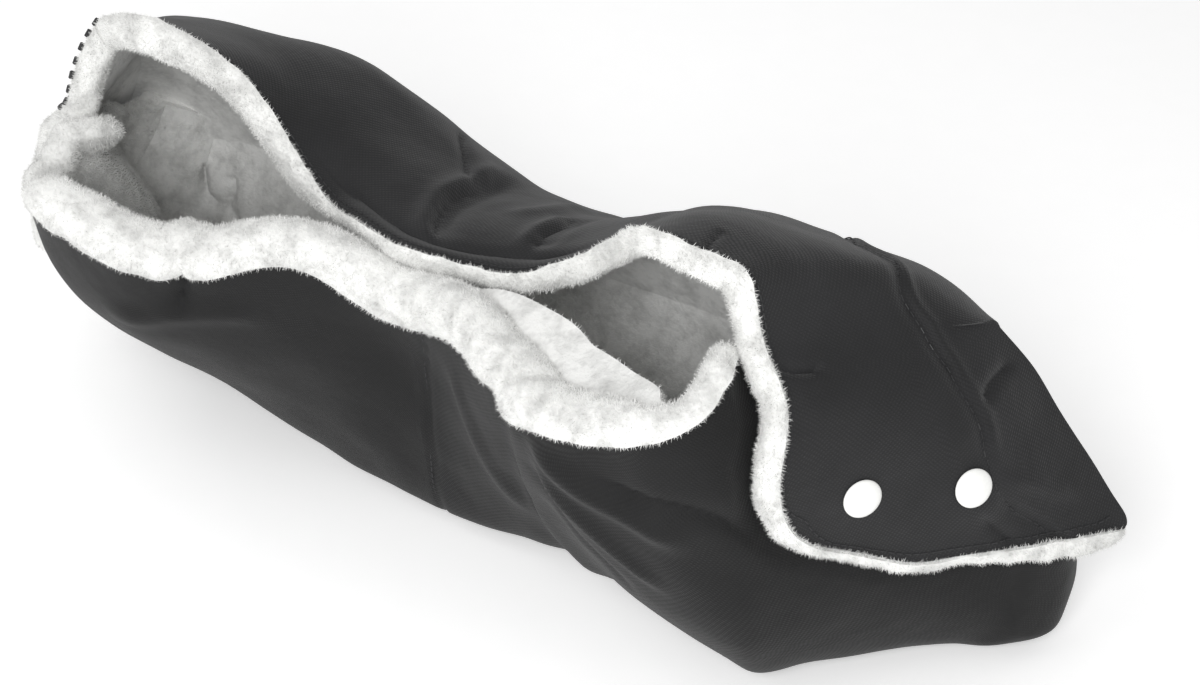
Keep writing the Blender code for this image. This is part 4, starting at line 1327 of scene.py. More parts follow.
@dataclass
class Pouch:
    """The lower half of the muff, which holds the hands and lies round the handle."""

    rays: tuple[Rib, ...] = (
        ((0, 6, 0), (0, -18, 9), (0, -24, 50), (0, -28, 92), (0, -40, 119)),
        ((40, 6, 0), (42, -16, 11), (43, -34, 52), (43, -46, 95), (43, -55, 133)),
        ((80, 4, 0), (85, -22, 16), (88, -48, 56), (87, -68, 96), (84, -78, 127)),
        ((115, 0, 0), (122, -28, 18), (126, -68, 61), (126, -86, 99), (121, -91, 134)),
        ((144, -8, 0), (156, -38, 18), (162, -72, 60), (160, -86, 103), (152, -93, 145)),
        ((163, -18, 0), (176, -42, 17), (186, -64, 62), (184, -68, 108), (171, -70, 153)),
        ((178, -4, 0), (191, -24, 17), (196, -44, 64), (189, -46, 115), (172, -43, 168)),
        ((191, 8, 0), (206, -5, 17), (210, -22, 60), (206, -25, 98), (202, -27, 132)),
        ((205, 24, 0), (221, 13, 17), (229, 6, 54), (227, 5, 94), (216, 7, 137)),
        ((217, 36, 0), (238, 30, 14), (252, 30, 44), (249, 33, 88), (236, 40, 131)),
        ((222, 42, 0), (246, 38, 9), (257, 37, 19), (259, 39, 50), (255, 44, 78)),
        ((224, 50, 0), (248, 50, 6), (264, 57, 13), (267, 60, 38), (263, 62, 62)),
        ((213, 63, 0), (236, 71, 5), (254, 78, 10), (260, 81, 28), (258, 82, 46)),
        ((196, 70, 0), (208, 83, 12), (217, 90, 38), (224, 93.5, 62), (228, 96, 85)),
        ((138, 70, 0), (141, 86, 12), (143, 93, 38), (144, 96, 62), (144, 97, 85)),
        ((68, 69, 0), (69, 85, 12), (70, 92.5, 38), (70, 95, 62), (70, 96, 85)),
        ((0, 68, 0), (0, 84, 12), (0, 91.5, 38), (0, 94, 62), (0, 95, 85)),
    )
    # The left end, where the plush stands higher and closes round to the rear corner
    left_end: tuple[Rib, ...] = (
        ((-191, 28, 0), (-206, 18, 17), (-209, 0, 60), (-204, -14, 106), (-196, -18, 149)),
        ((-205, 31, 0), (-221, 21, 17), (-229, 16, 54), (-226, 10, 94), (-214, 8, 137)),
        ((-217, 36, 0), (-238, 30, 14), (-251, 31, 44), (-248, 35, 82), (-238, 38, 119)),
        ((-222, 42, 0), (-242, 42, 14), (-254, 46, 42), (-251, 50, 80), (-242, 52, 115)),
        ((-222, 52, 0), (-240, 57, 14), (-251, 62, 40), (-249, 65, 76), (-239, 68, 110)),
        ((-212, 64, 0), (-228, 74, 14), (-240, 80, 38), (-238, 83, 70), (-228, 84, 101)),
    )
    # How far the left of the front is tucked back, and the shares of that by ray and by row
    left_tuck: float = 0.038
    tuck_rays: tuple[float, ...] = (0.0, 0.0, 0.2, 0.6, 1.0, 1.1, 0.9)
    tuck_rows: tuple[float, ...] = (0.9, 1.0, 0.75, 0.3, 0.0)
    # The first ray of the left end, and the first one of the rear wall, which ends at the fold
    left_end_ray: int = 7
    rear_ray: int = 13
    # How much higher the lip stands on the left of the web than on the right, and its ray
    web_rise: float = 0.0075
    web_ray: int = 1
    floor_rings: tuple[float, ...] = (0.04, 0.35, 0.65, 0.88)
    ray_steps: int = 16
    rear_steps: int = 26
    row_steps: int = 17
    # Depth at which the wall is held under the flaps, and the distance from the middle where that starts
    headroom: float = 0.0134
    flap_start: float = 0.13
    # How far beside a flap the hold fades out, and how much deeper than that the wall may lie
    blend_reach: float = 0.014
    give: float = 0.008
    # The middle of the flat floor
    floor_middle: Spot = (0.0, 0.035, 0.0)
    net_passes: int = 12
    outward_passes: int = 5
    folds: tuple[Fold, ...] = (
        # The two seams of the front
        Fold(((0.32, 4.0), (0.29, 3.67), (0.14, 2.80), (0.12, 2.07), (0.06, 1.13), (0.05, 0.5)),
             0.0012, 0.0018, FoldForm.VALLEY, True),
        Fold(FRONT_SEAM, 0.0024, 0.0020, FoldForm.VALLEY, True),
        Fold(FRONT_SEAM, 0.0018, 0.0070, FoldForm.STEP, True),
        # Folds that spread from under the right mouth
        Fold(((2.2, 3.85), (2.7, 3.55), (3.2, 3.35), (3.9, 3.1), (4.5, 2.75)), 0.0038, 0.0055,
             FoldForm.RIDGE),
        Fold(((3.1, 3.6), (3.6, 3.45), (4.35, 3.27), (4.9, 3.0), (5.5, 2.6)), 0.0036, 0.0050),
        Fold(((2.2, 3.6), (2.6, 3.2), (3.0, 2.9), (3.5, 2.5), (4.0, 2.1)), 0.0028, 0.0045, FoldForm.RIDGE),
        Fold(((2.1, 3.3), (2.4, 2.8), (2.9, 2.3), (3.4, 1.8)), 0.0022, 0.0050),
        Fold(((0.7, 3.5), (0.9, 2.9), (1.2, 2.2), (1.5, 1.6)), 0.0020, 0.0060, FoldForm.RIDGE),
        # The notch of the left lip, and the long fold that runs from it
        Fold(((-2.0, 4.0), (-2.0, 3.85), (-2.05, 3.6), (-2.1, 3.4)), 0.0040, 0.0050, FoldForm.VALLEY, True),
        Fold(((-3.2, 2.9), (-2.53, 3.07), (-2.18, 3.27), (-1.76, 3.33), (-1.2, 3.33)), 0.0024, 0.0055,
             FoldForm.RIDGE),
    )
    lobes: tuple[Lobe, ...] = (
        Lobe((2.3, 3.8), (2.9, 1.8), 0.030, 0.010),
        Lobe((4.6, 3.5), (1.6, 1.0), 0.010, 0.002),
        Lobe((-3.6, 3.8), (2.6, 1.0), 0.012, 0.002),
        Lobe((-7.0, 2.3), (4.4, 1.6), 0.022, 0.004),
        Lobe((-11.4, 3.0), (3.0, 2.0), 0.010, 0.003),
        Lobe((-14.0, 2.2), (1.6, 1.6), 0.010),
        Lobe((13.6, 2.0), (2.4, 1.6), 0.014),
    )
    # Creases of the plush at the rear of the left mouth
    plush_folds: tuple[Fold, ...] = (
        Fold(((-12.5, 3.2), (-12.7, 2.9), (-12.88, 2.5), (-13.1, 2.4)), 0.0050, 0.0045),
        Fold(((-12.9, 2.4), (-13.2, 2.45), (-13.35, 2.1)), 0.0045, 0.0040),
        Fold(((-13.2, 2.45), (-13.3, 2.8), (-13.3, 3.2)), 0.0045, 0.0040),
    )
    # How far the lining has to be moved by its bulges before it is evened in full, and the passes of that
    bulge_blend: float = 0.004
    bulge_passes: int = 14
    # Pile on the lining inside each mouth: first ray, last ray and depth in rows
    pile_patches: tuple[tuple[str, float, float, int], ...] = (
        ("right", 0.3, 6.4, 26), ("left", RAYS - 12.5, RAYS - 0.5, 34),
    )
    # Rays between which the lip is bound, with those on the left of the middle below 0
    lip_span: Place = (-12.6, 6.8)

    def net(self) -> np.ndarray:
        """The rays as a ring, from the middle of the front round the right end."""
        right = net_points(self.rays)
        right[self.rear_ray:, -1, 2] = FOLD_HEIGHT
        left = right * MIRROR
        count = len(self.tuck_rays)
        left[:count, :, 1] += self.left_tuck * np.outer(self.tuck_rays, self.tuck_rows)
        left[self.left_end_ray:self.rear_ray] = net_points(self.left_end)
        left[self.web_ray, -1] += UP * self.web_rise
        return np.concatenate([right, left[-2:0:-1]])

    def columns(self) -> np.ndarray:
        """Column places round the pouch, closer together along the rear, where the rays lie far apart."""
        near, far = self.rear_ray - 1, RAYS - self.rear_ray + 1
        parts = ((0, near, self.ray_steps), (near, far, self.rear_steps), (far, RAYS, self.ray_steps))
        return np.concatenate([
            np.linspace(start, end, (end - start) * steps, endpoint=False) for start, end, steps in parts
        ])

    def skin(self, flaps: Sequence[BVHTree]) -> Skin:
        """The pouch's outer face, with a few rings of its flat floor.

        Args:
            flaps: Trees of the right and the left flap, which the wall stays under.

        Returns:
            The closed skin.
        """
        columns = self.columns()
        rows = np.linspace(0, ROWS, ROWS * self.row_steps + 1)
        grid = softened(net_grid(self.net(), columns, rows, True), True, self.net_passes)
        grid = self.kept_under(grid, flaps)
        middle = np.array(self.floor_middle)
        floor = np.stack([middle + (grid[:, 0] - middle) * share for share in self.floor_rings], axis=1)
        grid = np.concatenate([floor, grid], axis=1)
        rows = np.concatenate([np.linspace(-0.8, -0.2, len(self.floor_rings)), rows])
        outward = facing(grid, True)
        # The front of the pouch looks to -Y
        if outward[0, len(rows) // 2, 1] > 0:
            outward = -outward
        outward = softened(outward, True, self.outward_passes)
        outward[:, :len(self.floor_rings)] = -UP
        return Skin(grid, unit(outward), columns, rows, closed=True)

    def kept_under(self, grid: np.ndarray, flaps: Sequence[BVHTree]) -> np.ndarray:
        """Hold the wall at one depth under the flaps, so that the snaps fit between them."""
        grid = grid.copy()
        for column in range(len(grid)):
            for row in range(1, grid.shape[1]):
                point = grid[column, row]
                if abs(point[0]) < self.flap_start:
                    continue
                flap = flaps[0] if point[0] > 0 else flaps[1]
                near, normal, _, distance = flap.find_nearest(Vector(point))
                if distance > self.headroom + self.blend_reach + self.give:
                    continue
                direction = np.array(normal)
                if direction[0] * point[0] < 0:
                    direction = -direction
                height = float((point - np.array(near)) @ direction)
                beside = math.sqrt(max(distance * distance - height * height, 0))
                move = self.headroom + height
                share = max(0.0, 1 - beside / self.blend_reach)
                if move < 0:
                    share *= max(0.0, 1 + move / self.give)
                grid[column, row] = point - direction * move * share
        return grid


def looking(place: Spot, way: Vector) -> Matrix:
    """Where a lamp or camera stands when it looks along a way."""
    return Matrix.Translation(place) @ way.to_track_quat("-Z", "Y").to_matrix().to_4x4()


@dataclass(frozen=True)
class Studio:
    """The floor, the lights and the camera."""

    camera_place: Spot = (0.5743, -0.7202, 0.6560)
    azimuth: float = 35.0
    elevation: float = 32.0
    lens: float = 80.85
    film: float = 36.0
    floor_size: float = 6.0
    world_light: float = 0.46
    # Soft square lamps: name, place, size and power
    lamps: tuple[tuple[str, Spot, float, float], ...] = (
        ("key", (-0.35, -0.85, 1.20), 0.8, 3.0),
        ("front", (0.56, -0.95, 0.72), 0.4, 9.5),
        ("side", (-0.90, 0.10, 0.90), 0.7, 1.5),
    )
    # What the lamps look at
    aim: Spot = (0, 0, 0.08)

    def build(self) -> None:
        """Set up the floor, the lights, the world and the camera."""
        half = self.floor_size / 2
        mesh = bpy.data.meshes.new("studio_floor")
        corners = [(-half, -half, 0), (half, -half, 0), (half, half, 0), (-half, half, 0)]
        mesh.from_pydata(corners, [], [(0, 1, 2, 3)])
        mesh.materials.append(StudioFloor().material())
        placed("studio_floor", mesh)
        world = bpy.data.worlds.new("studio_world")
        world.use_nodes = True
        background = world.node_tree.nodes["Background"]
        background.inputs["Color"].default_value = linear("#ffffff")
        background.inputs["Strength"].default_value = self.world_light
        scene = bpy.context.scene
        scene.world = world
        scene.view_settings.view_transform = "Standard"
        for name, place, size, power in self.lamps:
            data = bpy.data.lights.new(name, "AREA")
            data.size = size
            data.energy = power
            placed(name, data).matrix_world = looking(place, Vector(self.aim) - Vector(place))
        turn, tilt = math.radians(self.azimuth), math.radians(self.elevation)
        data = bpy.data.cameras.new("camera")
        data.lens = self.lens
        data.sensor_width = self.film
        way = Vector((-math.sin(turn) * math.cos(tilt), math.cos(turn) * math.cos(tilt), -math.sin(tilt)))
        scene.camera = placed("camera", data)
        scene.camera.matrix_world = looking(self.camera_place, way)


class Muff:
    """The whole hand muff: its skins, and the pieces made from them."""

    # Places of the snaps, as shares of the flap from front to rear and from hinge to hem
    SNAPS: dict[str, Place] = {"front": (0.335, 0.72), "rear": (0.690, 0.70)}
    # Round each snap the cloth is smooth: the radius that is flat, and the length over which folds come back
    SNAP_FLAT, SNAP_FADE = 0.009, 0.012
    # Outline of a snap's dome, in shares of its radius and its rise, from the rim to the top
    DOME: tuple[Place, ...] = (
        (1.00, 0.00), (1.00, 0.14), (0.985, 0.24), (0.93, 0.40), (0.80, 0.62), (0.62, 0.79), (0.42, 0.91),
        (0.21, 0.98), (0.06, 1.00),
    )
    DOME_RADIUS, DOME_RISE, DOME_SIDES = 0.0075, 0.0024, 48
    # Rumples of padded cloth: size, shift and height of each kind
    RUMPLES = ((0.055, 1.0, 0.0024), (0.022, 5.0, 0.0009))
    # Height above the ground over which folds and rumples set in
    GROUND_FADE = 0.010
    # How many rows the left flap's front edge is cut back, so that it hides behind the pouch, the columns
    # past the hinge over which that sets in, and the rows that it draws together
    LEFT_CUT, CUT_COLUMNS, CUT_ROWS = 0.5, 0.9, 0.95
    # The share of its cut rectangle that the pouch's cloth fills
    CUT_SHARE = 0.85
    # The rear fold, over which the cover's cloth turns from the pouch
    REAR_FOLD = Crossing("pouch", "cover", (0, 0.09, 0.0801), (0, 0.09, 0.104))
    # The cover's wadding ends at this row, before the fold
    WADDING_ROWS = 3.8
    # Rows of the cover's lining that carry pile
    PILE_ROWS = slice(2, 26)
    # Row place of the topstitching beside an edge, and how far stitches lie to the side of a seam
    TOPSTITCH, BESIDE_POUCH_SEAM, BESIDE_FLAP_SEAM = 0.13, 0.0016, 0.0018
    # The tapes: gap to what is above, thickness, and share of a row of the net that they are deep
    TAPE_GAP, TAPE_THICKNESS, TAPE_DEPTH = 0.0008, 0.0011, 0.4

    LIP_MARKS = (-12.6, -7, -6, -5, -4, -3, -2, -1, 0, 1, 2, 3, 4, 5, 6.5)
    LIP = RollSizes(
        heights=(LIP_MARKS, (0.002, 0.002, 0.003, 0.006, 0.0100, 0.0115, 0.0115, 0.010, 0.016, 0.012,
                             0.0115, 0.0115, 0.0100, 0.006, 0.0035)),
        widths=(LIP_MARKS, (0.009, 0.009, 0.010, 0.013, 0.018, 0.022, 0.022, 0.019, 0.019, 0.019,
                            0.022, 0.022, 0.017, 0.012, 0.0085)),
        tails=(LIP_MARKS, (0.008, 0.010, 0.012, 0.014, 0.014, 0.014, 0.014, 0.014, 0.016, 0.020,
                           0.022, 0.020, 0.014, 0.010, 0.008)),
        overlaps=((-3, -2, -1, 0, 1, 2, 3), (0.0015, 0.002, 0.004, 0.0065, 0.005, 0.002, 0.0015)),
    )
    MOUTH_MARKS = (-4, -3, -1.4, -0.7, 0, 0.7, 1.4, 3, 4)
    MOUTH = RollSizes(
        heights=(MOUTH_MARKS, (0.0035, 0.0030, 0.0040, 0.0014, 0.0006, 0.0012, 0.0020, 0.0022, 0.0045)),
        widths=(MOUTH_MARKS, (0.0105, 0.0125, 0.0130, 0.0086, 0.0078, 0.0080, 0.0080, 0.0080, 0.0105)),
        tails=(MOUTH_MARKS, (0.010, 0.016, 0.014, 0.006, 0.004, 0.008, 0.014, 0.016, 0.010)),
        overlaps=((0,), (0.0012,)),
    )
    HEM = RollSizes(
        heights=((0, 0.5, 0.62, 0.85, 0.95, 1), (0.0045, 0.0050, 0.0042, 0.0042, 0.0075, 0.004)),
        widths=((0,), (0.0105,)),
        tails=((0, 0.3, 1), (0.010, 0.008, 0.008)),
        overlaps=((0, 0.2, 0.45, 0.6, 1), (0.0012, 0.0030, 0.0025, 0.0012, 0.0012)),
    )

    def __init__(self) -> None:
        """Work out the skins of the cover, the flaps and the pouch."""
        self.finishes = Wardrobe()
        self.mantle = Mantle()
        self.pouch = Pouch()
        cover = self.mantle.cover_skin()
        right = self.mantle.flap_skin(cover)
        left = self.left_flap(cover, right)
        pouch = self.pouch.skin((right.tree(), left.tree()))
        self.base = {"cover": cover, "right": right, "left": left, "pouch": pouch}
        self.skins = {name: self.dressed(skin) for name, skin in self.base.items()}

    def left_flap(self, cover: Skin, right: Skin) -> Skin:
        """The left flap: the right one mirrored, under the strip of the left of the cover."""
        steps = self.mantle.column_steps
        strip = len(cover.columns) - STRIP_START * steps
        points = right.points * MIRROR
        outward = right.outward * MIRROR
        rows = len(right.rows)
        own = cover.points[:steps + 1][::-1][:, :rows]
        own_outward = cover.outward[:steps + 1][::-1][:, :rows]
        share = eased(right.columns[:strip] - STRIP_START)[:, None, None]
        points[:strip] = own * (1 - share) + points[:strip] * share
        outward[:strip] = unit(own_outward * (1 - share) + outward[:strip] * share)
        for index, column in enumerate(right.columns):
            back = self.LEFT_CUT * float(eased(np.array((column - HINGE) / self.CUT_COLUMNS)))
            places = right.rows + back * np.clip(1 - right.rows / self.CUT_ROWS, 0, 1)
            for grid in (points, outward):
                axes = [np.interp(places, right.rows, grid[index, :, axis]) for axis in range(3)]
                grid[index] = np.stack(axes, 1)
        return Skin(points, unit(outward), right.columns, right.rows)

    def mantle_at(self, place: Place) -> np.ndarray:
        """The point at a place of the mantle, with the left flap below 0 and the right one past its hinge."""
        if place[0] > HINGE:
            return self.base["right"].at(place)
        if place[0] < 0:
            return self.base["left"].at((HINGE - place[0], place[1]))
        return self.base["cover"].at(place)

    def pouch_at(self, place: Place) -> np.ndarray:
        """The point at a place of the pouch, with rays left of the middle below 0."""
        return self.base["pouch"].at((place[0] % RAYS, place[1]))

    def dressed(self, skin: Skin) -> Skin:
        """The skin with its folds and the slight rumples of padded cloth."""
        where = self.pouch_at if skin.closed else self.mantle_at
        folds = self.pouch.folds if skin.closed else self.mantle.folds
        heights = sum(rumple(skin.points, size, shift) * height for size, shift, height in self.RUMPLES)
        for fold in folds:
            heights = heights + fold.heights(skin.points, skin.outward, fold.line(where))
        heights = heights * eased(skin.points[..., 2] / self.GROUND_FADE)
        for side in ("right", "left"):
            for share in self.SNAPS.values():
                away = np.linalg.norm(skin.points - self.snap_place(side, share)[0], axis=-1)
                heights = heights * eased((away - self.SNAP_FLAT) / self.SNAP_FADE)
        return skin.raised(heights)

    def snap_place(self, side: str, share: Place) -> tuple[np.ndarray, np.ndarray]:
        """Centre and axis of a snap on its flap's base skin."""
        place = (HINGE + DROPS * share[1], HINGE_ROWS * share[0])
        return self.base[side].at(place), self.base[side].direction(place)

    def build(self) -> None:
        """Make and dress every piece."""
        self.build_pouch()
        self.build_cover()
        for side in ("right", "left"):
            self.build_flap(side)
            self.build_snaps(side)
        self.build_patches()
        self.build_stitches()

    def crossing(self, side: str) -> Crossing:
        """Where cloth starts and ends its turn from the cover to a flap."""
        front, rear = self.mantle.hinge_ends()
        axis = unit(rear - front)
        middle = (front + rear) / 2
        beside = (net_points(self.mantle.ribs[-1][1]), net_points(self.mantle.flap_ribs[1][0]))
        ways = [unit((point - middle) - axis * ((point - middle) @ axis)) for point in beside]
        across = unit(ways[1] - ways[0]) * self.mantle.hinge_half
        sign = 1 if side == "right" else MIRROR
        ends = (middle - across, middle + across)
        return Crossing("cover", f"{side}_flap", *(tuple(float(part) for part in end * sign) for end in ends))

    @staticmethod
    def sewn(skin: Skin, places: Sequence[Place], lift: float = 0.0001, out: float = 0.0) -> np.ndarray:
        """Points of a sewn line on a dressed skin.

        Args:
            skin: The dressed skin.
            places: The line's places, in order.
            lift: Height over the cloth.
            out: How far to the side of the line, away from the panel.

        Returns:
            The line's points.
        """
        nodes = np.array(places, float)
        dense = along(nodes, np.linspace(0, len(nodes) - 1, 10 * (len(nodes) - 1) + 1), False)
        points = np.array([skin.at(tuple(place)) for place in dense])
        outward = np.array([skin.direction(tuple(place)) for place in dense])
        aside = unit(np.cross(unit(np.gradient(points, axis=0)), outward))
        return points + outward * lift + aside * out

    def build_stitches(self) -> None:
        """Sew the seams, the topstitching beside the edges and the overlocked left edge."""
        wear = self.finishes
        fine, bold = Stitching(), Stitching(pitch=0.0060, length=0.0030, radius=0.0011)
        paths = [[(ray % RAYS, row) for ray, row in fold.path] for fold in self.pouch.folds[:2]]
        seams = [self.sewn(self.skins["pouch"], path, out=self.BESIDE_POUCH_SEAM) for path in paths]
        wear.put_on(fine.sew("pouch_seam_stitches", seams, wear.thread), "pouch", "shell_cloth")
        cover = self.skins["cover"]
        mouth = [(column, self.TOPSTITCH) for column in np.linspace(HINGE - STRIP_START, STRIP_START, 33)]
        seam = [place for place in FLAP_SEAM if place[0] < STRIP_START]
        lines = [self.sewn(cover, mouth), self.sewn(cover, seam, out=self.BESIDE_FLAP_SEAM)]
        wear.put_on(fine.sew("cover_stitches", lines, wear.thread), "cover", "shell_cloth")
        hem = [(column, self.TOPSTITCH) for column in np.linspace(STRIP_START, 12.4, 15)]
        hem += [(12.62, 0.20), (12.78, 0.40)] + [(12.86, row) for row in np.linspace(0.65, 2.9, 12)]
        seam = [(9.05, 2.1)] + [place for place in FLAP_SEAM if place[0] > 9.3]
        for side in ("right", "left"):
            flap = self.skins[side]
            lines = [self.sewn(flap, hem)]
            if side == "right":
                lines.append(self.sewn(flap, seam, out=self.BESIDE_FLAP_SEAM))
            stitches = fine.sew(f"{side}_flap_stitches", lines, wear.thread)
            wear.put_on(stitches, self.crossing(side), "shell_cloth")
        edge = [(column, 0.0) for column in np.linspace(STRIP_START, 10.3, 10)]
        line = self.sewn(self.skins["left"], edge, lift=0.0021)
        overlock = bold.sew("left_flap_overlock", [line], wear.thread)
        wear.put_on(overlock, self.crossing("left"), "shell_cloth")

    def layer(self, panel: str, kind: str, skin: Skin, finish: bpy.types.Material, ride: Ride,
              inner: Optional[np.ndarray] = None, **form: object) -> bpy.types.Object:
        """Make one layer of a panel.

        Args:
            panel: The panel's name.
            kind: Which layer of LAYERS it is; also the end of its CAD node's name.
            skin: The panel's outer face.
            finish: What it wears.
            ride: What it moves with.
            inner: Its inner face, if that isn't plain.
            form: What else solid() takes.

        Returns:
            The new piece.
        """
        sizes = LAYERS[kind]
        inner = skin.inside(sizes.bottom) if inner is None else inner
        piece = solid(f"{panel}_{sizes.piece}", skin.inside(sizes.top), inner, finish, **form)
        return self.finishes.put_on(piece, ride, sizes.slot, f"{panel}_{kind}", fill=sizes.fill)

    def bind(self, stem: str, node: str, ride: Ride, fill: float, pile: Pile, skin: Skin,
             path: Sequence[tuple[int, int]], places: np.ndarray, sizes: RollSizes,
             round_ends: tuple[bool, bool] = (True, True)) -> None:
        """Bind an edge with a plush roll and its pile.

        Args:
            stem: What both pieces' names begin with.
            node: The CAD node that the roll stands for.
            ride: What both move with.
            fill: How full the roll is.
            pile: The pile on it.
            skin: The panel's outer face.
            path: Column and row numbers along the edge.
            places: Where the sizes are read, for each place on the path.
            sizes: The roll's sizes.
            round_ends: Whether its start and its end are drawn in.
        """
        plush = self.finishes.plush
        roll = Binding(f"{stem}_roll", skin, path, places, sizes, round_ends).build(plush)
        self.finishes.put_on(roll, ride, "plush", node, fill=fill)
        self.finishes.put_on(pile.grow(f"{stem}_pile", roll, plush), ride, "plush")

    def pouch_lining(self, skin: Skin) -> np.ndarray:
        """The inner face of the pouch's plush, with its bulges and creases."""
        plain = skin.inside(PANEL_DEPTH)
        inner = plain
        for lobe in self.pouch.lobes:
            inner = inner + lobe.moves(skin)
        moved = np.linalg.norm(inner - plain, axis=-1, keepdims=True)
        share = np.clip(moved / self.pouch.bulge_blend, 0, 1)
        inner = inner + (softened(inner, True, self.pouch.bulge_passes) - inner) * share
        for fold in self.pouch.plush_folds:
            crease = fold.heights(skin.points, skin.outward, fold.line(self.pouch_at))
            inner = inner - skin.outward * crease[..., None]
        return inner

    def build_pouch(self) -> None:
        """Make the pouch's shell, wadding, lining and lip."""
        skin, wear = self.skins["pouch"], self.finishes
        ring = {"closed": True, "floor": True}
        # The pouch's shell wears the darker copy of the cloth, whose extra darkness is painted shade
        shell = self.layer("pouch", "shell", skin, wear.shade, "pouch", **ring)
        area = cloth_size(skin.points)[1]
        self.layer("pouch", "wadding", skin, wear.wadding, "pouch", **ring)
        inner = self.pouch_lining(skin)
        self.layer("pouch", "lining", skin, wear.plush, "pouch", inner=inner, **ring)
        for name, first_ray, last_ray, deep in self.pouch.pile_patches:
            near = np.nonzero((skin.columns > first_ray) & (skin.columns < last_ray))[0]
            away = -skin.outward[near][:, -deep:]
            self.grow_patch(f"pouch_{name}_pile", inner[near][:, -deep:], away, "pouch")
        rays = np.where(skin.columns > RAYS / 2, skin.columns - RAYS, skin.columns)
        first, last = self.pouch.lip_span
        chosen = np.nonzero((rays > first) & (rays < last))[0]
        chosen = chosen[np.argsort(rays[chosen])]
        path = [(int(column), len(skin.rows) - 1) for column in chosen]
        self.bind("pouch_lip", "pouch_lip_band", "pouch", 0.7, Pile(density=1.3e6, seed=3), skin, path,
                  places=rays[chosen], sizes=self.LIP)

    def grow_patch(self, name: str, grid: np.ndarray, away: np.ndarray, body: str) -> None:
        """Grow pile on an open patch of a lining.

        Args:
            name: The pile's name.
            grid: The patch's points.
            away: The directions in which the pile stands.
            body: The CAD body that the lining moves with.
        """
        plush = self.finishes.plush
        bed = mesh_object(f"{name}_bed", grid.reshape(-1, 3), quads(grid.shape[:2], False), plush)
        normals = np.array([face.normal for face in bed.data.polygons])
        if (normals * away[:-1, :-1].reshape(-1, 3)).sum() < 0:
            bed.data.flip_normals()
        pile = Pile(density=1.1e6, seed=23).grow(name, bed, plush)
        bpy.data.objects.remove(bed, do_unlink=True)
        self.finishes.put_on(pile, body, "plush")

    def cover_faces(self, skin: Skin) -> np.ndarray:
        """Which faces of the cover's grid belong to the cover, and not to a flap's strip."""
        column = (skin.columns[:-1] + skin.columns[1:])[:, None] / 2
        row = (skin.rows[:-1] + skin.rows[1:])[None, :] / 2
        return ((column > HINGE - STRIP_START) & (column < STRIP_START)) | (row > HINGE_ROWS)

    def build_cover(self) -> None:
        """Make the cover's shell, wadding, lining and mouth band."""
        skin, wear = self.skins["cover"], self.finishes
        kept = self.cover_faces(skin)
        shell = self.layer("cover", "shell", skin, wear.shell, self.REAR_FOLD, kept=kept)
        size, area = cloth_size(skin.points, kept)
        padded = kept & (np.arange(kept.shape[1]) < self.mantle.row_steps * self.WADDING_ROWS)[None, :]
        self.layer("cover", "wadding", skin, wear.wadding, "cover", kept=padded)
        self.layer("cover", "lining", skin, wear.plush, self.REAR_FOLD, kept=kept)
        steps = self.mantle.column_steps
        middle = slice((HINGE - STRIP_START) * steps, STRIP_START * steps)
        under = skin.inside(PANEL_DEPTH)[middle, self.PILE_ROWS]
        self.grow_patch("cover_plush_pile", under, -skin.outward[middle, self.PILE_ROWS], "cover")
        path = [(column, 0) for column in range(middle.start, middle.stop + 1)]
        places = (np.arange(len(path)) - (len(path) - 1) / 2) / steps
        self.bind("cover_mouth", "cover_hem_band", "cover", 0.6, Pile(seed=5), skin, path, places, self.MOUTH,
                  round_ends=(False, False))

    def build_flap(self, side: str) -> None:
        """Make one flap's shell, wadding, lining and hem band."""
        skin, wear = self.skins[side], self.finishes
        name = f"{side}_flap"
        crossing = self.crossing(side)
        shell = self.layer(name, "shell", skin, wear.shell, crossing)
        size, area = cloth_size(skin.points)
        first = self.mantle.column_steps + 1
        hung = Skin(skin.points[first:], skin.outward[first:], skin.columns[first:], skin.rows)
        self.layer(name, "wadding", hung, wear.wadding, name)
        self.layer(name, "lining", skin, wear.plush, crossing)
        last = len(skin.columns) - 1
        path = [(column, 0) for column in range(last)] + [(last, row) for row in range(len(skin.rows))]
        places = np.arange(len(path)) / (len(path) - 1)
        self.bind(f"{name}_hem", f"{name}_hem_band", crossing, 0.6, Pile(seed=11), skin, path, places,
                  self.HEM, round_ends=(False, True))

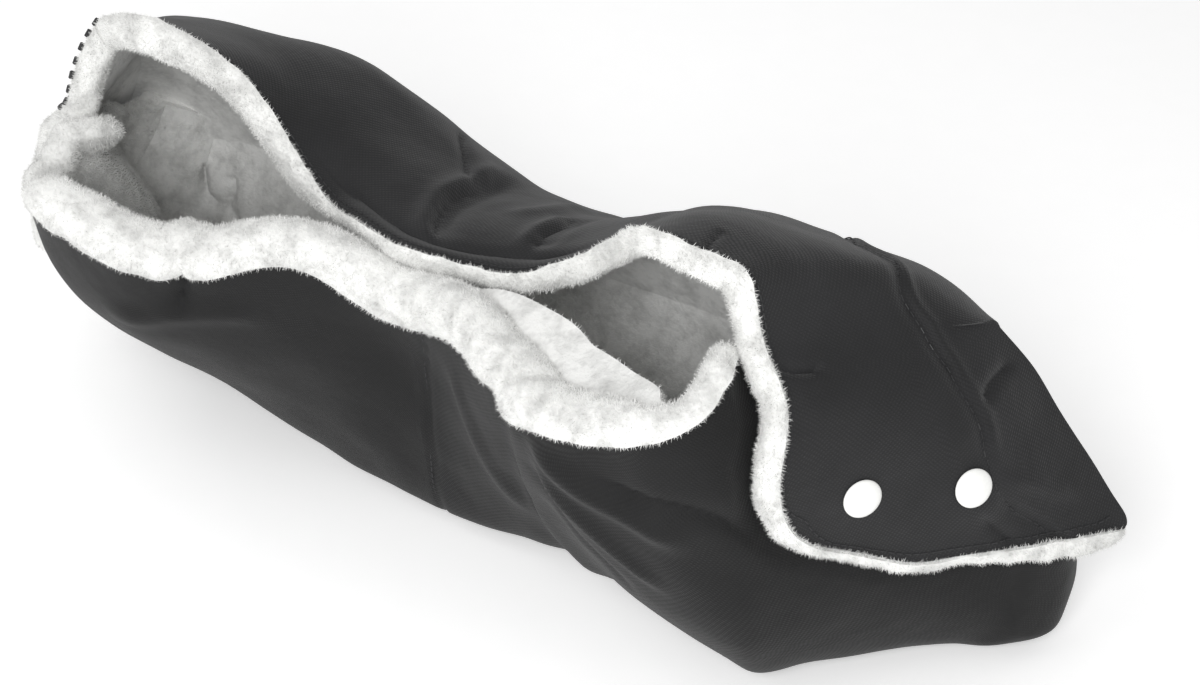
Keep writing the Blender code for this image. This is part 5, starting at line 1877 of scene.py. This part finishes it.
    def build_snaps(self, side: str) -> None:
        """Make the two caps of one flap and give the hidden snap parts their finish."""
        sides = self.DOME_SIDES
        for spot, share in self.SNAPS.items():
            name = f"{side}_{spot}_snap"
            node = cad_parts[f"{name}_cap"]
            centre, axis = self.snap_place(side, share)
            spots = [np.array(node.matrix_world @ vertex.co) for vertex in node.data.vertices]
            rim = max(float((point - centre) @ axis) for point in spots) - self.DOME_RISE
            turn = np.array(Vector(axis).to_track_quat("Z", "Y").to_matrix())
            angles = np.arange(sides) * 2 * math.pi / sides
            rings = []
            for wide, high in self.DOME:
                ring = (np.cos(angles) * wide * self.DOME_RADIUS, np.sin(angles) * wide * self.DOME_RADIUS,
                        np.full(sides, rim + high * self.DOME_RISE))
                rings.append(centre + np.stack(ring, axis=1) @ turn.T)
            top = (len(rings) - 1) * sides
            faces = []
            for low in range(0, top, sides):
                for corner in range(sides):
                    after = (corner + 1) % sides
                    faces.append([low + corner, low + after, low + sides + after, low + sides + corner])
            faces += [list(range(sides))[::-1], list(range(top, top + sides))]
            cap = mesh_object(f"{name}_dome", np.concatenate(rings), faces, self.finishes.plastic, crisp=50)
            self.finishes.put_on(cap, f"{side}_flap", "snap_plastic", f"{name}_cap")
            for part in ("socket", "stud", "post"):
                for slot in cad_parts[f"{name}_{part}"].material_slots:
                    slot.material = self.finishes.plastic

    def build_patches(self) -> None:
        """Make the hook and loop patches under the middle of the cover."""
        skin, steps = self.skins["cover"], self.mantle.column_steps
        middle, third = HINGE // 2 * steps, steps // 3
        wide = slice(middle - third, middle + third + 1)
        deep = slice(1, 1 + int(self.TAPE_DEPTH * self.mantle.row_steps))
        points, outward = skin.points[wide, deep], skin.outward[wide, deep]
        depth = PANEL_DEPTH + self.TAPE_GAP
        for kind, body, bed in (("loop", "cover", "cover_plush"), ("hook", "pouch", "pouch_lip_roll")):
            bottom = depth + self.TAPE_THICKNESS
            name = f"closure_{kind}"
            patch = solid(f"{name}_tape", points - outward * depth, points - outward * bottom,
                          self.finishes.tape)
            self.finishes.put_on(patch, body, "hook_tape", f"{name}_patch")
            size, area = cloth_size(points)
            depth = bottom + self.TAPE_GAP


def main() -> None:
    """Build the studio and the muff."""
    logging.basicConfig(level=logging.INFO, format="%(message)s")
    Studio().build()
    Muff().build()
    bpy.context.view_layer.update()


if __name__ == "__main__":
    main()
